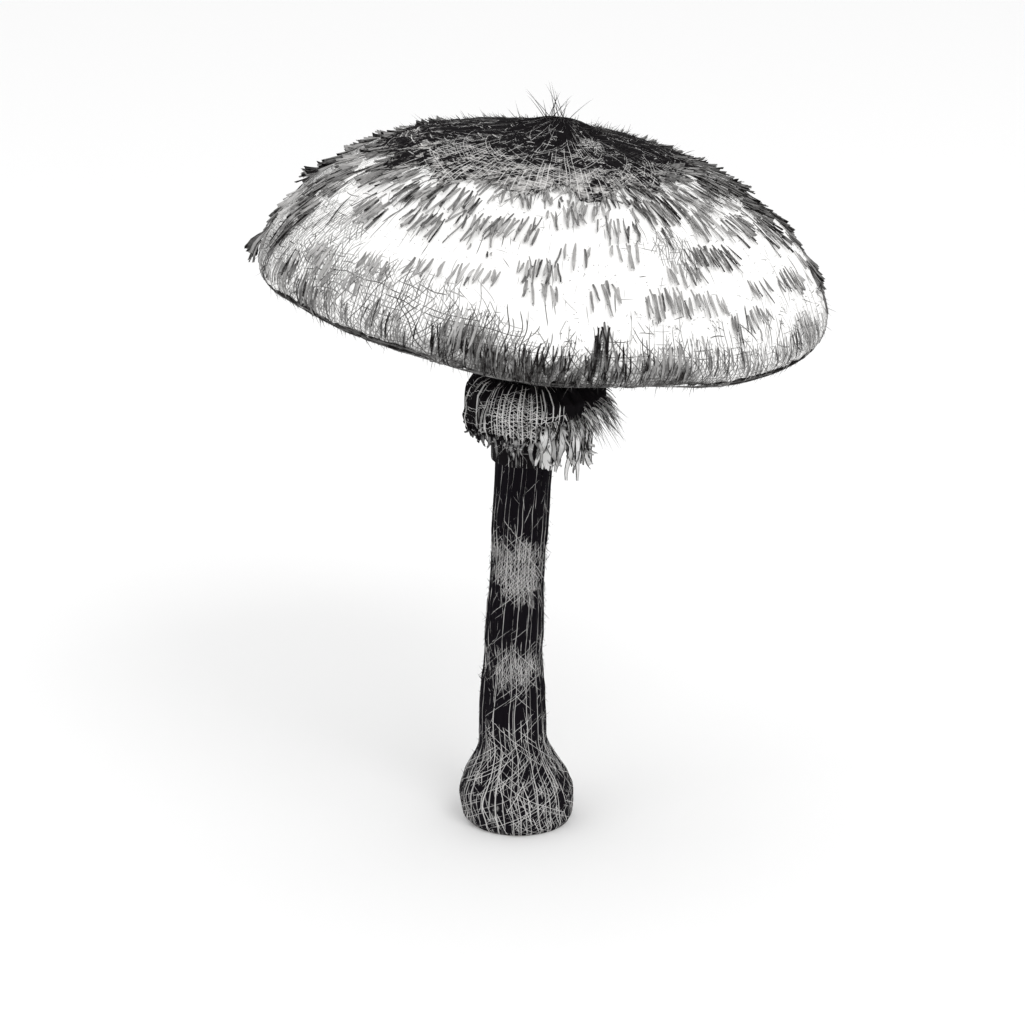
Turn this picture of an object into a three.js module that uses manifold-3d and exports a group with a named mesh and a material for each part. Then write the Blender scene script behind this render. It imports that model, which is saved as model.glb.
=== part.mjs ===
// A parasol mushroom with an open cap, picked and cut flat across its bulb, standing on the cut.
// Millimetres, +Z up. The origin is the centre of the flat cut, and +X is the side the cap leans to.
//
//   cap         pale flesh and skin, one solid, with its ragged brown-black scales fused on
//   cap_disc    the dark unbroken skin over the middle of the cap, with a lobed edge
//   gills       blades that hang under the cap from one thin layer, free of the stem
//   ring        the double collar that sits loose on the stem, with a torn skirt
//   stem        fibrous stem with zigzag bands, a bulb and the flat cut
import * as THREE from "three";
import { mergeVertices } from "three/addons/utils/BufferGeometryUtils.js";
import Module from "manifold-3d";

const wasm = await Module();
wasm.setup();

// ---------------------------------------------------------------- driving dimensions
const CAP_RADIUS = 88; // at the widest circle
const CAP_CENTRE = new THREE.Vector3(6.7, 0, 181); // middle of the widest circle
const CAP_LEAN = 7; // degrees, towards +X
const CAP_NOD = 0.8; // degrees, towards -Y
const DOME_HEIGHT = 45; // from the widest circle to the dome, without the umbo
const DOME_FULLNESS = 2.6; // larger is flatter on top
const DOME_SHOULDER = 0.714; // smaller is steeper at the side
const UMBO_HEIGHT = 5;
const UMBO_SPREAD = 13;
const CURL_IN = 7; // how far the margin turns in and down, past the widest circle
const CURL_DOWN = 8;
const CURL_ANGLE = 65; // degrees of that quarter turn that the margin makes
const FLESH_CENTRE = 10;
const FLESH_EDGE = 1.6;
const SPREAD_WAVES = [
  // [waves round the cap, share of the radius, phase]: how the margin goes in and out
  [3, 0.011, 0.6],
  [5, 0.008, 2.1],
];
const RISE_WAVES = [
  // [waves round the cap, height, phase]: how the margin goes up and down
  [2, 1.3, 0.4],
  [5, 0.9, 1.2],
  [9, 0.5, 0],
];
const CLEARANCE = 0.3; // between neighbouring solids

const DISC_REACH = 46; // along the skin, from the top of the cap to the notches of the disc
const DISC_SHIFT = 7; // it reaches this much further towards -X, and less towards +X
const DISC_LOBE = 9; // how far its lobes reach past the notches
const DISC_LOBES = 14;
const DISC_SUNK = 0.1; // its underside is this far under the skin around it
const DISC_PROUD = 1.1;

const SCALE_ROOT = 1.1; // how deep a scale is sunk at its middle
const SCALE_STEP = 0.35; // how far the untorn edge of a scale stands off the skin
const SCALE_ROWS = [
  // at: share of the way from the disc to the margin; lift: height of the torn tip
  { at: 0, count: 13, width: 17, length: 10, lift: 2.2, turn: 0.1 },
  { at: 0.24, count: 15, width: 17, length: 9.5, lift: 2.2, turn: 0.42 },
  { at: 0.48, count: 17, width: 15.5, length: 9, lift: 2, turn: 0.05 },
  { at: 0.72, count: 19, width: 13.5, length: 8, lift: 1.8, turn: 0.6 },
];
const SCALES_FROM = 4; // from the disc to the first row
const SCALES_TO = 106; // from the top of the cap to the last
const FRONT_SCALES = [
  // [middle, from the top along the skin; degrees from +X; width; length], between the FRONT angles
  [59, -124, 18, 12], [61, -88, 11, 9], [63, -41, 12, 12], [64, -152, 18, 12], [65, -72, 12, 9],
  [68, -28, 15, 10], [68, -100, 13, 9], [71, -110, 13, 10], [74, -72, 9, 9], [75, -47, 18, 8],
  [75, -85, 9, 9], [75, -124, 12, 10], [76, -18, 14, 11], [76, -140, 11, 10], [80, -58, 13, 8],
  [81, -93, 11, 7], [86, -104, 9, 7], [87, -164, 18, 11], [87, -36, 10, 8], [88, -79, 9, 9],
  [88, -117, 10, 8], [89, -22, 16, 9], [90, -54, 14, 8], [90, -65, 13, 9], [92, -129, 12, 8],
  [95, -40, 11, 7], [96, -143, 12, 8],
];
const FRONT = [-172, -8];
const FRONT_LIFT = 1.9;
const HEM = { along: 105, count: 32, width: 10, length: 6.5, lift: 1.1 }; // the small scales of the margin
const FLAPS = [
  // large flakes that have torn loose on the -X side; angles in degrees from +X
  { along: 94, angle: 184, width: 15, length: 9, lift: 4.2 },
  { along: 80, angle: 162, width: 14, length: 9, lift: 4 },
];

const GILL_COUNT = 84; // every second one is short
const GILL_THICKNESS = 0.8;
const GILL_LAYER = 1.2; // the thin layer of flesh that carries them
const GILL_DEPTH = 13;
const GILL_INNER = 15.5; // where they stop short of the stem
const SHORT_GILL_FROM = 0.45; // the share of a full gill's length that a short one leaves out
const SHORT_GILL_DEPTH = 8.5;

const STEM_RADIUS = 8.8; // at the ring
const STEM_TOP = 41; // above the middle of the widest circle, inside the flesh
const SOCKET_ROOM = 1.2; // between the stem's widest ribs and the flesh around its top
const BULB_RADIUS = 18.6;
const CUT_RADIUS = 16.8;
const RING_HEIGHT = 134;
const RING_LEFT = 19; // reach of the collar from the stem's middle, on -X and on +X
const RING_RIGHT = 29;
const SLEEVE_HALF = 13; // half the height of the ring's sleeve round the stem
const HANG_LEFT = 12; // how far the skirt hangs below the collar's edge
const HANG_RIGHT = 18.5;

const PALE = 0xd9d5cd;
const DARK = 0x2a2522;
const GILL_COLOUR = 0xe4dfd3;
const STEM_COLOUR = 0x35302c;
const RING_COLOUR = 0xa39b8f;

// ---------------------------------------------------------------- small helpers
const TAU = 2 * Math.PI;
const UP = new THREE.Vector3(0, 0, 1);
const { degToRad, lerp, smoothstep, clamp } = THREE.MathUtils;

// A repeatable stream of numbers from 0 to 1.
function stream(seed) {
  let state = seed;
  return () => {
    state = (state * 1664525 + 1013904223) % 4294967296;
    return state / 4294967296;
  };
}

// The value of a curve through (place, value) pairs: straight between them, or eased.
function evenly(pairs, place, ease = (x, from, to) => (x - from) / (to - from)) {
  const later = pairs.findIndex(([at]) => at > place);
  const next = later < 0 ? pairs.length - 1 : Math.max(later, 1);
  const [from, to] = [pairs[next - 1], pairs[next]];
  return lerp(from[1], to[1], ease(place, from[0], to[0]));
}

const through = (pairs, place) => evenly(pairs, place, smoothstep);

function solidFrom(geometry) {
  const bare = new THREE.BufferGeometry().setAttribute("position", geometry.getAttribute("position"));
  bare.setIndex(geometry.index);
  const merged = mergeVertices(bare, 1e-4);
  const triVerts = new Uint32Array(merged.index.array);
  const vertProperties = merged.getAttribute("position").array;
  return new wasm.Manifold(new wasm.Mesh({ numProp: 3, vertProperties, triVerts }));
}

// The main body of a solid. What a join has sealed is filled, and a loose scrap is dropped.
function mainBody(solid) {
  return solid.decompose().reduce((best, body) => (body.volume() > best.volume() ? body : best));
}

function geometryFrom(solid) {
  const { vertProperties, triVerts, numProp } = solid.getMesh();
  const corners = new Float32Array((vertProperties.length / numProp) * 3);
  for (let i = 0; i < corners.length / 3; i++)
    corners.set(vertProperties.subarray(i * numProp, i * numProp + 3), i * 3);
  return new THREE.BufferGeometry()
    .setAttribute("position", new THREE.BufferAttribute(corners, 3))
    .setIndex(new THREE.BufferAttribute(new Uint32Array(triVerts), 1));
}

// A closed skin round an axis. rows counts the rings, and pointAt(row, angle) places each corner.
// With poles, the first and last rings are each one point; without, the last ring joins the first.
function skin(rows, columns, poles, pointAt) {
  const corners = [];
  const faces = [];
  const ringStart = [];
  for (let row = 0; row < rows; row++) {
    ringStart.push(corners.length / 3);
    const isPole = poles && (row === 0 || row === rows - 1);
    for (let column = 0; column < (isPole ? 1 : columns); column++)
      corners.push(...pointAt(row, (TAU * column) / columns).toArray());
  }
  const corner = (row, column) =>
    poles && (row === 0 || row === rows - 1) ? ringStart[row] : ringStart[row] + (column % columns);
  const bands = poles ? rows - 1 : rows;
  for (let row = 0; row < bands; row++)
    for (let column = 0; column < columns; column++) {
      const below = (row + 1) % rows;
      const [a, b] = [corner(row, column), corner(row, column + 1)];
      const [c, d] = [corner(below, column + 1), corner(below, column)];
      if (a !== b) faces.push(a, c, b);
      if (c !== d) faces.push(a, d, c);
    }
  return new THREE.BufferGeometry()
    .setAttribute("position", new THREE.Float32BufferAttribute(corners, 3))
    .setIndex(faces);
}

const polar = (radius, angle, height) =>
  new THREE.Vector3(radius * Math.cos(angle), radius * Math.sin(angle), height);

// ---------------------------------------------------------------- the cap's form
function domeHeight(radius) {
  const share = Math.min(radius / CAP_RADIUS, 1);
  return DOME_HEIGHT * (1 - share ** DOME_FULLNESS) ** DOME_SHOULDER;
}

const umbo = (radius) => UMBO_HEIGHT * Math.exp(-((radius / UMBO_SPREAD) ** 2));

// The cap's outline from the top, at 0, to the margin, at 1, as (radius, height).
const WIDEST = 0.86; // the share of the outline above the widest circle
function outline(share, withUmbo = true) {
  if (share <= WIDEST) {
    const radius = CAP_RADIUS * Math.sin(((share / WIDEST) * Math.PI) / 2);
    return new THREE.Vector2(radius, domeHeight(radius) + (withUmbo ? umbo(radius) : 0));
  }
  const turn = ((share - WIDEST) / (1 - WIDEST)) * degToRad(CURL_ANGLE);
  return new THREE.Vector2(CAP_RADIUS - CURL_IN * (1 - Math.cos(turn)), -CURL_DOWN * Math.sin(turn));
}

// The outward direction of the outline there.
function outwards(share, withUmbo = true) {
  const step = 1e-3;
  const before = outline(Math.max(share - step, 0), withUmbo);
  const along = outline(Math.min(share + step, 1), withUmbo).sub(before);
  return new THREE.Vector2(-along.y, along.x).normalize();
}

// A point above the skin by lift, at that share of the outline.
function raised(share, lift, withUmbo = true) {
  return outline(share, withUmbo).addScaledVector(outwards(share, withUmbo), lift);
}

// Distance along the skin, from the top, turned into a share of the outline.
const OUTLINE_STEPS = 400;
const distances = [0];
for (let i = 1; i <= OUTLINE_STEPS; i++)
  distances.push(distances[i - 1] + outline(i / OUTLINE_STEPS).distanceTo(outline((i - 1) / OUTLINE_STEPS)));
function shareAt(along) {
  const next = distances.findIndex((distance) => distance > along);
  if (next < 1) return along <= 0 ? 0 : 1;
  const part = (along - distances[next - 1]) / (distances[next] - distances[next - 1]);
  return (next - 1 + part) / OUTLINE_STEPS;
}

const flesh = (share) =>
  FLESH_EDGE + (FLESH_CENTRE - FLESH_EDGE) * (1 - Math.min(share / WIDEST, 1) ** 2) ** 2;

// The gills run between two shares of the outline, and part says how far along that way.
const GILL_OUTER_SHARE = 0.88;
const GILL_GAP = CLEARANCE + 0.15; // the roof and the hollow are flat-sided, so they keep a little more
const ROOF_PARTS = [0, 0.3, 0.55, 0.8, 1];
const gillRoof = (share) => raised(share, -flesh(share) - GILL_GAP, false);
const gillFloor = (share) => raised(share, -flesh(share) - GILL_GAP - GILL_LAYER, false);

// The share of the outline where the roof over the gills has that radius.
function roofShareAt(radius) {
  let [low, high] = [0, WIDEST];
  for (let i = 0; i < 30; i++) {
    const middle = (low + high) / 2;
    if (gillRoof(middle).x < radius) low = middle;
    else high = middle;
  }
  return low;
}

const GILL_INNER_SHARE = roofShareAt(GILL_INNER);
const gillShare = (part) => lerp(GILL_INNER_SHARE, GILL_OUTER_SHARE, part);

const waveSum = (waves, angle) =>
  waves.reduce((sum, [count, size, phase]) => sum + size * Math.sin(count * angle + phase), 0);

// The slow waves of a grown cap: everything that belongs to it is bent by them alike.
function wavy(point) {
  const radius = Math.hypot(point.x, point.y);
  const angle = Math.atan2(point.y, point.x);
  const share = Math.min(radius / CAP_RADIUS, 1);
  const swell = 1 + waveSum(SPREAD_WAVES, angle) * share ** 2;
  const rise = waveSum(RISE_WAVES, angle) * share ** 4;
  return new THREE.Vector3(point.x * swell, point.y * swell, point.z + rise);
}

function bent(geometry) {
  const places = geometry.getAttribute("position");
  for (let i = 0; i < places.count; i++) {
    const moved = wavy(new THREE.Vector3().fromBufferAttribute(places, i));
    places.setXYZ(i, moved.x, moved.y, moved.z);
  }
  return geometry;
}

// ---------------------------------------------------------------- cap
const CAP_COLUMNS = 72;
const CAP_RINGS = 15;

function capOutside() {
  const edge = outline(1);
  return bent(
    skin(CAP_RINGS + 1, CAP_COLUMNS, true, (row, angle) => {
      if (row === CAP_RINGS) return new THREE.Vector3(0, 0, edge.y);
      const place = outline(row / (CAP_RINGS - 1));
      return polar(place.x, angle, place.y);
    }),
  );
}

// The hollow has the same stations as the layer of gills, so that the gap between them is even.
function capHollow() {
  const shares = [0, 0.5 * gillShare(0), ...ROOF_PARTS.map(gillShare), 1];
  const below = raised(1, 0).y - 3 * CURL_DOWN;
  return bent(
    skin(shares.length + 2, GILL_COUNT / 2, true, (row, angle) => {
      const share = shares[Math.min(row, shares.length - 1)];
      const place = raised(share, -flesh(share), false);
      return polar(place.x, angle, row < shares.length ? place.y : below);
    }),
  );
}

// The socket in the flesh that the top of the stem sits in.
function stemSocket() {
  const radius = STEM_RADIUS + SOCKET_ROOM;
  const length = STEM_TOP; // it reaches down past the thickest flesh, into the hollow
  return new THREE.CylinderGeometry(radius, radius, length, 32)
    .rotateX(Math.PI / 2)
    .translate(0, 0, STEM_TOP + CLEARANCE - length / 2);
}

// One torn scale: a fan of skin with its root uphill, sunk in, and ragged teeth downhill, standing up.
function scaleGeometry(along, angle, width, length, lift, random) {
  const rim = [
    [-0.3, 0],
    [0.3, 0],
    [0.5, 0.5],
    [0.36, 0.82 + 0.25 * random()],
    [0.2, 0.62],
    [0.04, 0.85 + 0.3 * random()],
    [-0.16, 0.64],
    [-0.34, 0.8 + 0.25 * random()],
    [-0.5, 0.45],
  ];
  const corners = [];
  const place = (across, down, height) => {
    const share = shareAt(along + down * length);
    const on = raised(share, height);
    corners.push(...polar(on.x, angle + (across * width) / on.x, on.y).toArray());
  };
  for (const [across, down] of rim) place(across, down, lerp(SCALE_STEP, lift, clamp(down, 0, 1)));
  place(0, 0.42, lerp(SCALE_STEP, lift, 0.75)); // the crown, at count in the faces below
  place(0, 0.3, -SCALE_ROOT); // the apex in the flesh, at count + 1
  const count = rim.length;
  const faces = [];
  for (let i = 0; i < count; i++) {
    const next = (i + 1) % count;
    faces.push(i, count, next);
    faces.push(next, count + 1, i);
  }
  return bent(
    new THREE.BufferGeometry()
      .setAttribute("position", new THREE.Float32BufferAttribute(corners, 3))
      .setIndex(faces),
  );
}

function scales() {
  const random = stream(7);
  const made = [];
  const add = (along, degrees, width, length, lift) =>
    made.push(solidFrom(scaleGeometry(along, degToRad(degrees), width, length, lift, random)));
  for (const { along, angle, width, length, lift } of FLAPS) add(along, angle, width, length, lift);
  for (const [middle, degrees, width, length] of FRONT_SCALES)
    add(middle - length / 2, degrees, width, length, FRONT_LIFT);
  for (const row of SCALE_ROWS)
    for (let i = 0; i < row.count; i++) {
      const degrees = ((i + row.turn + 0.34 * (random() - 0.5)) / row.count) * 360 - 180;
      const fromDisc = discEdge(degToRad(degrees)) + SCALES_FROM;
      const along = lerp(fromDisc, SCALES_TO, row.at) + 3 * (random() - 0.5);
      const width = row.width * (0.72 + 0.56 * random());
      const length = row.length * (0.8 + 0.4 * random());
      if (degrees < FRONT[0] || degrees > FRONT[1]) add(along, degrees, width, length, row.lift);
    }
  for (let i = 0; i < HEM.count; i++) {
    const degrees = ((i + 0.4 * random()) / HEM.count) * 360;
    add(HEM.along + random(), degrees, HEM.width * (0.8 + 0.5 * random()), HEM.length, HEM.lift);
  }
  return made;
}

// ---------------------------------------------------------------- the dark disc
function discEdge(angle) {
  const wobble = 0.5 * Math.sin(3 * angle + 1) + 0.3 * Math.sin(5 * angle);
  const lobe = 0.5 + 0.5 * Math.cos(DISC_LOBES * angle + wobble);
  const reach = 0.6 + 0.25 * Math.sin(4 * angle + 0.7) + 0.15 * Math.sin(7 * angle);
  return DISC_REACH - DISC_SHIFT * Math.cos(angle) + DISC_LOBE * lobe * reach;
}

function discGeometry(grow, under, over) {
  const top = [0, 0.08, 0.2, 0.36, 0.64, 1];
  const low = [1, 0.5, 0.2, 0];
  const parts = [...top, ...low];
  return bent(
    skin(parts.length, DISC_LOBES * 5, true, (row, angle) => {
      const part = parts[row];
      const lift = row < top.length ? over * (1 - 0.5 * part ** 6) : under;
      const place = raised(shareAt(part * (discEdge(angle) + grow)), lift);
      return polar(place.x, angle, place.y);
    }),
  );
}

// ---------------------------------------------------------------- gills
const GILL_WALL = 0.12; // how much wider a gill is at its root than at its edge, on each side
const GILL_SHARE = 0.32; // half a gill is never wider than this share of the space it has

// How far a gill hangs, at part of the way from its inner end to the margin.
function gillDrop(part, isShort) {
  const start = isShort ? SHORT_GILL_FROM : 0;
  const own = clamp((part - start) / (1 - start), 0, 1);
  const deepest = isShort ? SHORT_GILL_DEPTH : GILL_DEPTH;
  return deepest * Math.max(0, Math.sin(Math.PI * own ** 0.85)) ** 0.6;
}

// One sheet: a smooth roof of one column a gill, and a pleated underside of four.
// The four go down one side of the gill, along its edge, up the other side and over the gap.
function gillsGeometry() {
  const floorParts = [0, 0.07, 0.3, 0.6, 0.84, 1];
  const pleat = [
    { side: -1, deep: false },
    { side: -1, deep: true },
    { side: 1, deep: true },
    { side: 1, deep: false },
  ];
  const corners = [];
  for (const part of ROOF_PARTS)
    for (let gill = 0; gill < GILL_COUNT; gill++) {
      const place = gillRoof(gillShare(part));
      corners.push(...polar(place.x, (TAU * (gill - 0.5)) / GILL_COUNT, place.y).toArray());
    }
  const floorStart = corners.length / 3;
  for (const part of floorParts)
    for (let gill = 0; gill < GILL_COUNT; gill++)
      for (const { side, deep } of pleat) {
        const place = gillFloor(gillShare(part));
        const drop = deep ? gillDrop(part, gill % 2 === 1) : 0;
        const room = (TAU * place.x) / GILL_COUNT;
        const half = Math.min(GILL_THICKNESS / 2, GILL_SHARE * room) + (deep ? 0 : GILL_WALL);
        const angle = (TAU * gill) / GILL_COUNT + (side * half) / place.x;
        corners.push(...polar(place.x - 0.1 * drop, angle, place.y - drop).toArray());
      }
  const pleats = GILL_COUNT * pleat.length;
  const roof = (row, column) => row * GILL_COUNT + (column % GILL_COUNT);
  const floor = (row, column) => floorStart + row * pleats + (column % pleats);
  const faces = [];
  const quad = (a, b, c, d) => faces.push(a, b, c, a, c, d);
  for (let row = 0; row < ROOF_PARTS.length - 1; row++)
    for (let i = 0; i < GILL_COUNT; i++)
      quad(roof(row, i), roof(row + 1, i), roof(row + 1, i + 1), roof(row, i + 1));
  for (let row = 0; row < floorParts.length - 1; row++)
    for (let i = 0; i < pleats; i++)
      quad(floor(row, i), floor(row, i + 1), floor(row + 1, i + 1), floor(row + 1, i));
  // The inner and outer ends: each stretch of the roof's edge is sewn to the four below it.
  const lastRoof = ROOF_PARTS.length - 1;
  const lastFloor = floorParts.length - 1;
  for (let i = 0; i < GILL_COUNT; i++) {
    const first = i * pleat.length;
    for (let j = 0; j < pleat.length; j++) {
      const above = j < 2 ? i : i + 1;
      faces.push(roof(0, above), floor(0, first + j + 1), floor(0, first + j));
      faces.push(roof(lastRoof, above), floor(lastFloor, first + j), floor(lastFloor, first + j + 1));
    }
    faces.push(roof(0, i), roof(0, i + 1), floor(0, first + 2));
    faces.push(roof(lastRoof, i + 1), roof(lastRoof, i), floor(lastFloor, first + 2));
  }
  return bent(
    new THREE.BufferGeometry()
      .setAttribute("position", new THREE.Float32BufferAttribute(corners, 3))
      .setIndex(faces),
  );
}

// ---------------------------------------------------------------- stem
const capFrame = new THREE.Matrix4().compose(
  CAP_CENTRE,
  new THREE.Quaternion().setFromEuler(new THREE.Euler(degToRad(CAP_NOD), degToRad(CAP_LEAN), 0)),
  new THREE.Vector3(1, 1, 1),
);
const inCap = (height) => new THREE.Vector3(0, 0, height).applyMatrix4(capFrame);

// The middle of the stem, from the cut to the socket. It ends along the cap's own axis.
const stemLine = new THREE.CatmullRomCurve3([
  new THREE.Vector3(0, 0, 0),
  new THREE.Vector3(-1.4, 0, 18),
  new THREE.Vector3(-2, 0.6, 42),
  new THREE.Vector3(-0.6, 1, 80),
  new THREE.Vector3(1.6, 0.8, 120),
  inCap(-30),
  inCap(0),
  inCap(STEM_TOP),
]);

const STEM_WIDTHS = [
  // (height, radius): the cut, the bulb, the neck of the bulb, the shaft, and the flare into the flesh
  [0, CUT_RADIUS],
  [2.5, BULB_RADIUS - 0.4],
  [9, BULB_RADIUS],
  [29, STEM_RADIUS + 2],
  [75, STEM_RADIUS + 0.5],
  [115, STEM_RADIUS],
  [200, STEM_RADIUS - 0.3],
  [217, STEM_RADIUS + 0.7],
];
const RIB_HEIGHT = 0.3; // of the long fibres that stand out along the shaft
const TORN_BANDS = [
  // (middle height, half height): where the dark skin is torn away in a zigzag band
  [56, 8],
  [86, 11],
];
const TORN_DEPTH = 0.7;
const ZIGZAG = { teeth: 6, height: 5 };
const STEM_RINGS = [
  // (share of the rings, share of the stem's length) from the cut to the top
  [0, 0],
  [0.16, 0.1],
  [0.86, 0.56],
  [1, 1],
];

// How far the shaft stands out of its own round form.
function stemRelief(height, angle, column) {
  const shaft = smoothstep(height, 16, 34);
  const rib = column % 2 ? RIB_HEIGHT : -RIB_HEIGHT;
  const tooth = Math.abs((((angle / TAU) * ZIGZAG.teeth) % 1) - 0.5) * 2 * ZIGZAG.height;
  const level = height + tooth - ZIGZAG.height / 2;
  const torn = TORN_BANDS.some(([middle, half]) => Math.abs(level - middle) < half);
  return shaft * rib - (torn ? TORN_DEPTH : 0);
}

function stemGeometry() {
  const rings = 38;
  const columns = 24;
  const rows = rings + 2;
  return skin(rows, columns, true, (row, angle) => {
    if (row === 0) return stemLine.getPointAt(1);
    if (row === rows - 1) return new THREE.Vector3(0, 0, 0);
    const low = evenly(STEM_RINGS, 1 - (row - 1) / (rings - 1));
    const centre = stemLine.getPointAt(low);
    const column = Math.round((angle / TAU) * columns);
    const radius = through(STEM_WIDTHS, centre.z) + stemRelief(centre.z, angle, column);
    const uneven = 1 + 0.02 * Math.sin(2 * angle + centre.z / 17) * smoothstep(centre.z, 2, 40);
    const tip = new THREE.Quaternion().setFromUnitVectors(UP, stemLine.getTangentAt(low));
    const level = new THREE.Quaternion().slerp(tip, smoothstep(centre.z, 10, 50));
    return centre.add(polar(radius * uneven, angle, 0).applyQuaternion(level));
  });
}

// ---------------------------------------------------------------- ring
const RING_STRIPS = 24; // torn strips round the skirt, each of three columns

function ringGeometry() {
  const random = stream(5);
  const strips = [...Array(RING_STRIPS).keys()].map(() => 0.6 + 0.4 * random());
  const columns = RING_STRIPS * 3;
  const inside = STEM_RADIUS + RIB_HEIGHT + 0.5;
  return skin(10, columns, false, (row, angle) => {
    const right = 0.5 + 0.5 * Math.cos(angle); // 1 on the side the cap leans to
    const reach = lerp(RING_LEFT, RING_RIGHT, right ** 1.5);
    const column = Math.round((angle / TAU) * columns) % columns;
    const torn = column % 3 === 0 ? 0.45 : strips[Math.floor(column / 3)];
    const hang = lerp(HANG_LEFT, HANG_RIGHT, right) * torn;
    const tuck = lerp(4.5, 5.5, right) * torn; // the skirt closes in towards the stem as it hangs
    const edge = 0.45 * SLEEVE_HALF; // the height of the collar's widest edge
    const section = [
      // (radius, height): up the sleeve, over the collar, down the skirt and back under it
      [inside, -SLEEVE_HALF],
      [inside, SLEEVE_HALF],
      [inside + 2.2, SLEEVE_HALF + 2],
      [lerp(inside, reach, 0.62), SLEEVE_HALF + 0.2],
      [reach, edge],
      [reach - tuck, edge - hang],
      [reach - tuck - 1.1, edge - hang + 0.3],
      [reach - 2.2, edge - 1.4],
      [inside + 3.4, edge + 1],
      [inside + 1.8, 0.4 - SLEEVE_HALF],
    ];
    return polar(section[row][0], angle, section[row][1]);
  });
}

// ---------------------------------------------------------------- assembly
function part(name, solid, color, roughness) {
  const material = new THREE.MeshStandardMaterial({ color, roughness, metalness: 0, flatShading: true });
  const mesh = new THREE.Mesh(geometryFrom(solid), material);
  mesh.name = name;
  return mesh;
}

const bareCap = solidFrom(capOutside()).subtract(solidFrom(capHollow())).subtract(solidFrom(stemSocket()));
const discBed = solidFrom(discGeometry(CLEARANCE, -DISC_SUNK - CLEARANCE, 6));
const capSolid = mainBody(wasm.Manifold.union([bareCap, ...scales()]).subtract(discBed));
const discSolid = solidFrom(discGeometry(0, -DISC_SUNK, DISC_PROUD));

const head = new THREE.Group();
head.applyMatrix4(capFrame);
head.add(part("cap", capSolid, PALE, 0.85));
head.add(part("cap_disc", discSolid, DARK, 0.75));
head.add(part("gills", solidFrom(gillsGeometry()), GILL_COLOUR, 0.8));

const collar = new THREE.Group();
const stations = [...Array(200).keys()].map((i) => i / 199);
const collarAt = stations.find((at) => stemLine.getPointAt(at).z > RING_HEIGHT);
collar.position.copy(stemLine.getPointAt(collarAt));
collar.quaternion.setFromUnitVectors(UP, stemLine.getTangentAt(collarAt));
collar.add(part("ring", solidFrom(ringGeometry()), RING_COLOUR, 0.9));

const mushroom = new THREE.Group();
mushroom.add(head, collar, part("stem", solidFrom(stemGeometry()), STEM_COLOUR, 0.8));

export default mushroom;
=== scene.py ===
"""A parasol mushroom, picked and standing on the flat cut of its bulb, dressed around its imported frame.

The cap is a broad dome with a dark felted disc, torn scales and a fibrous margin. Gills hang under it, a
fringed ring sits on the stem, and the stem is near-black with pale lines and two bands of torn skin.
All sizes are metres, with +Z up and +X the side that the cap leans to. What is called far is in
millimetres: down the skin from the top of the cap, or up the stem from the cut.
"""

import logging
import math
from collections.abc import Iterable
from dataclasses import dataclass, field, replace
from enum import Enum
from functools import cached_property
from itertools import pairwise

import bpy
import numpy as np
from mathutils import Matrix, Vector


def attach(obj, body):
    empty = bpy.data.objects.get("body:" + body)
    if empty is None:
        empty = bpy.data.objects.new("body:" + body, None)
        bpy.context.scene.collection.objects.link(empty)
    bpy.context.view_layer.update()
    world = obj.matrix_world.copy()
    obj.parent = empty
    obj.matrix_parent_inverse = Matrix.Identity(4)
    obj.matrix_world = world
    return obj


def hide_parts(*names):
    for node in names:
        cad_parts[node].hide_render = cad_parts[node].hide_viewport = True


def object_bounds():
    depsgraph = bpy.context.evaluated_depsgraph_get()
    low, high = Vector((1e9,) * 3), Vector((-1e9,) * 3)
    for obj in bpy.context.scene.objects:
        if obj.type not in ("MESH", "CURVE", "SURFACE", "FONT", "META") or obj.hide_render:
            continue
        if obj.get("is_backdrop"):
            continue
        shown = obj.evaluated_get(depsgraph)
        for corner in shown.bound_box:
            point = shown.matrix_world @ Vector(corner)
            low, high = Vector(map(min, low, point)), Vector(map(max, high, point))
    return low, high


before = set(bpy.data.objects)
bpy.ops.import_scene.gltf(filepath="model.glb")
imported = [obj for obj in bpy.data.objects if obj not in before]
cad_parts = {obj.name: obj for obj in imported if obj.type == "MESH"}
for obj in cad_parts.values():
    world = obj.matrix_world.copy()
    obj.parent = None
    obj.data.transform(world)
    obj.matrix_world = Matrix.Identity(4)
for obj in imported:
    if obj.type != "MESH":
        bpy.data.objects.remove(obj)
CAD_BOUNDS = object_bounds()

LOG = logging.getLogger("mushroom")
MM = 0.001
TAU = 2 * math.pi
GRAIN_STEP = 9 * MM  # of the grain, along the fibres
UP = np.array([0.0, 0.0, 1.0])
Array = np.ndarray
Pair = tuple[Array, Array]
Faces = list[Array]  # groups of faces, as indices
Tree = bpy.types.NodeTree
Place = tuple[float, float, float]
Colour = tuple[float, float, float]
Socket = bpy.types.NodeSocket
Value = Socket | float | Colour | None
Rows = tuple[tuple[float, ...], ...]
Scale = tuple[int, int, int, int, float]  # middle, degrees, width, length, how dark
Area = tuple[float, float, float, float, float]  # amount, degrees, width in degrees, middle, half length


def ease(value: Array, low: float, high: float) -> Array:
    """A smooth step: 0 up to low, 1 from high on, and 3t^2 - 2t^3 between them."""
    share = np.clip((value - low) / (high - low), 0, 1)
    return share * share * (3 - 2 * share)


def hill(value: Array, centre: float, width: float) -> Array:
    """A bell of height 1: e to the power of minus ((value - centre) / width) squared."""
    return np.exp(-(((value - centre) / width) ** 2))


def side(angle: Array, degrees: float, width: float) -> Array:
    """A bell of height 1 round an axis: widest at an angle in degrees, with a width in degrees."""
    away = (angle - math.radians(degrees) + math.pi) % TAU - math.pi
    return hill(away, 0.0, math.radians(width))


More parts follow.
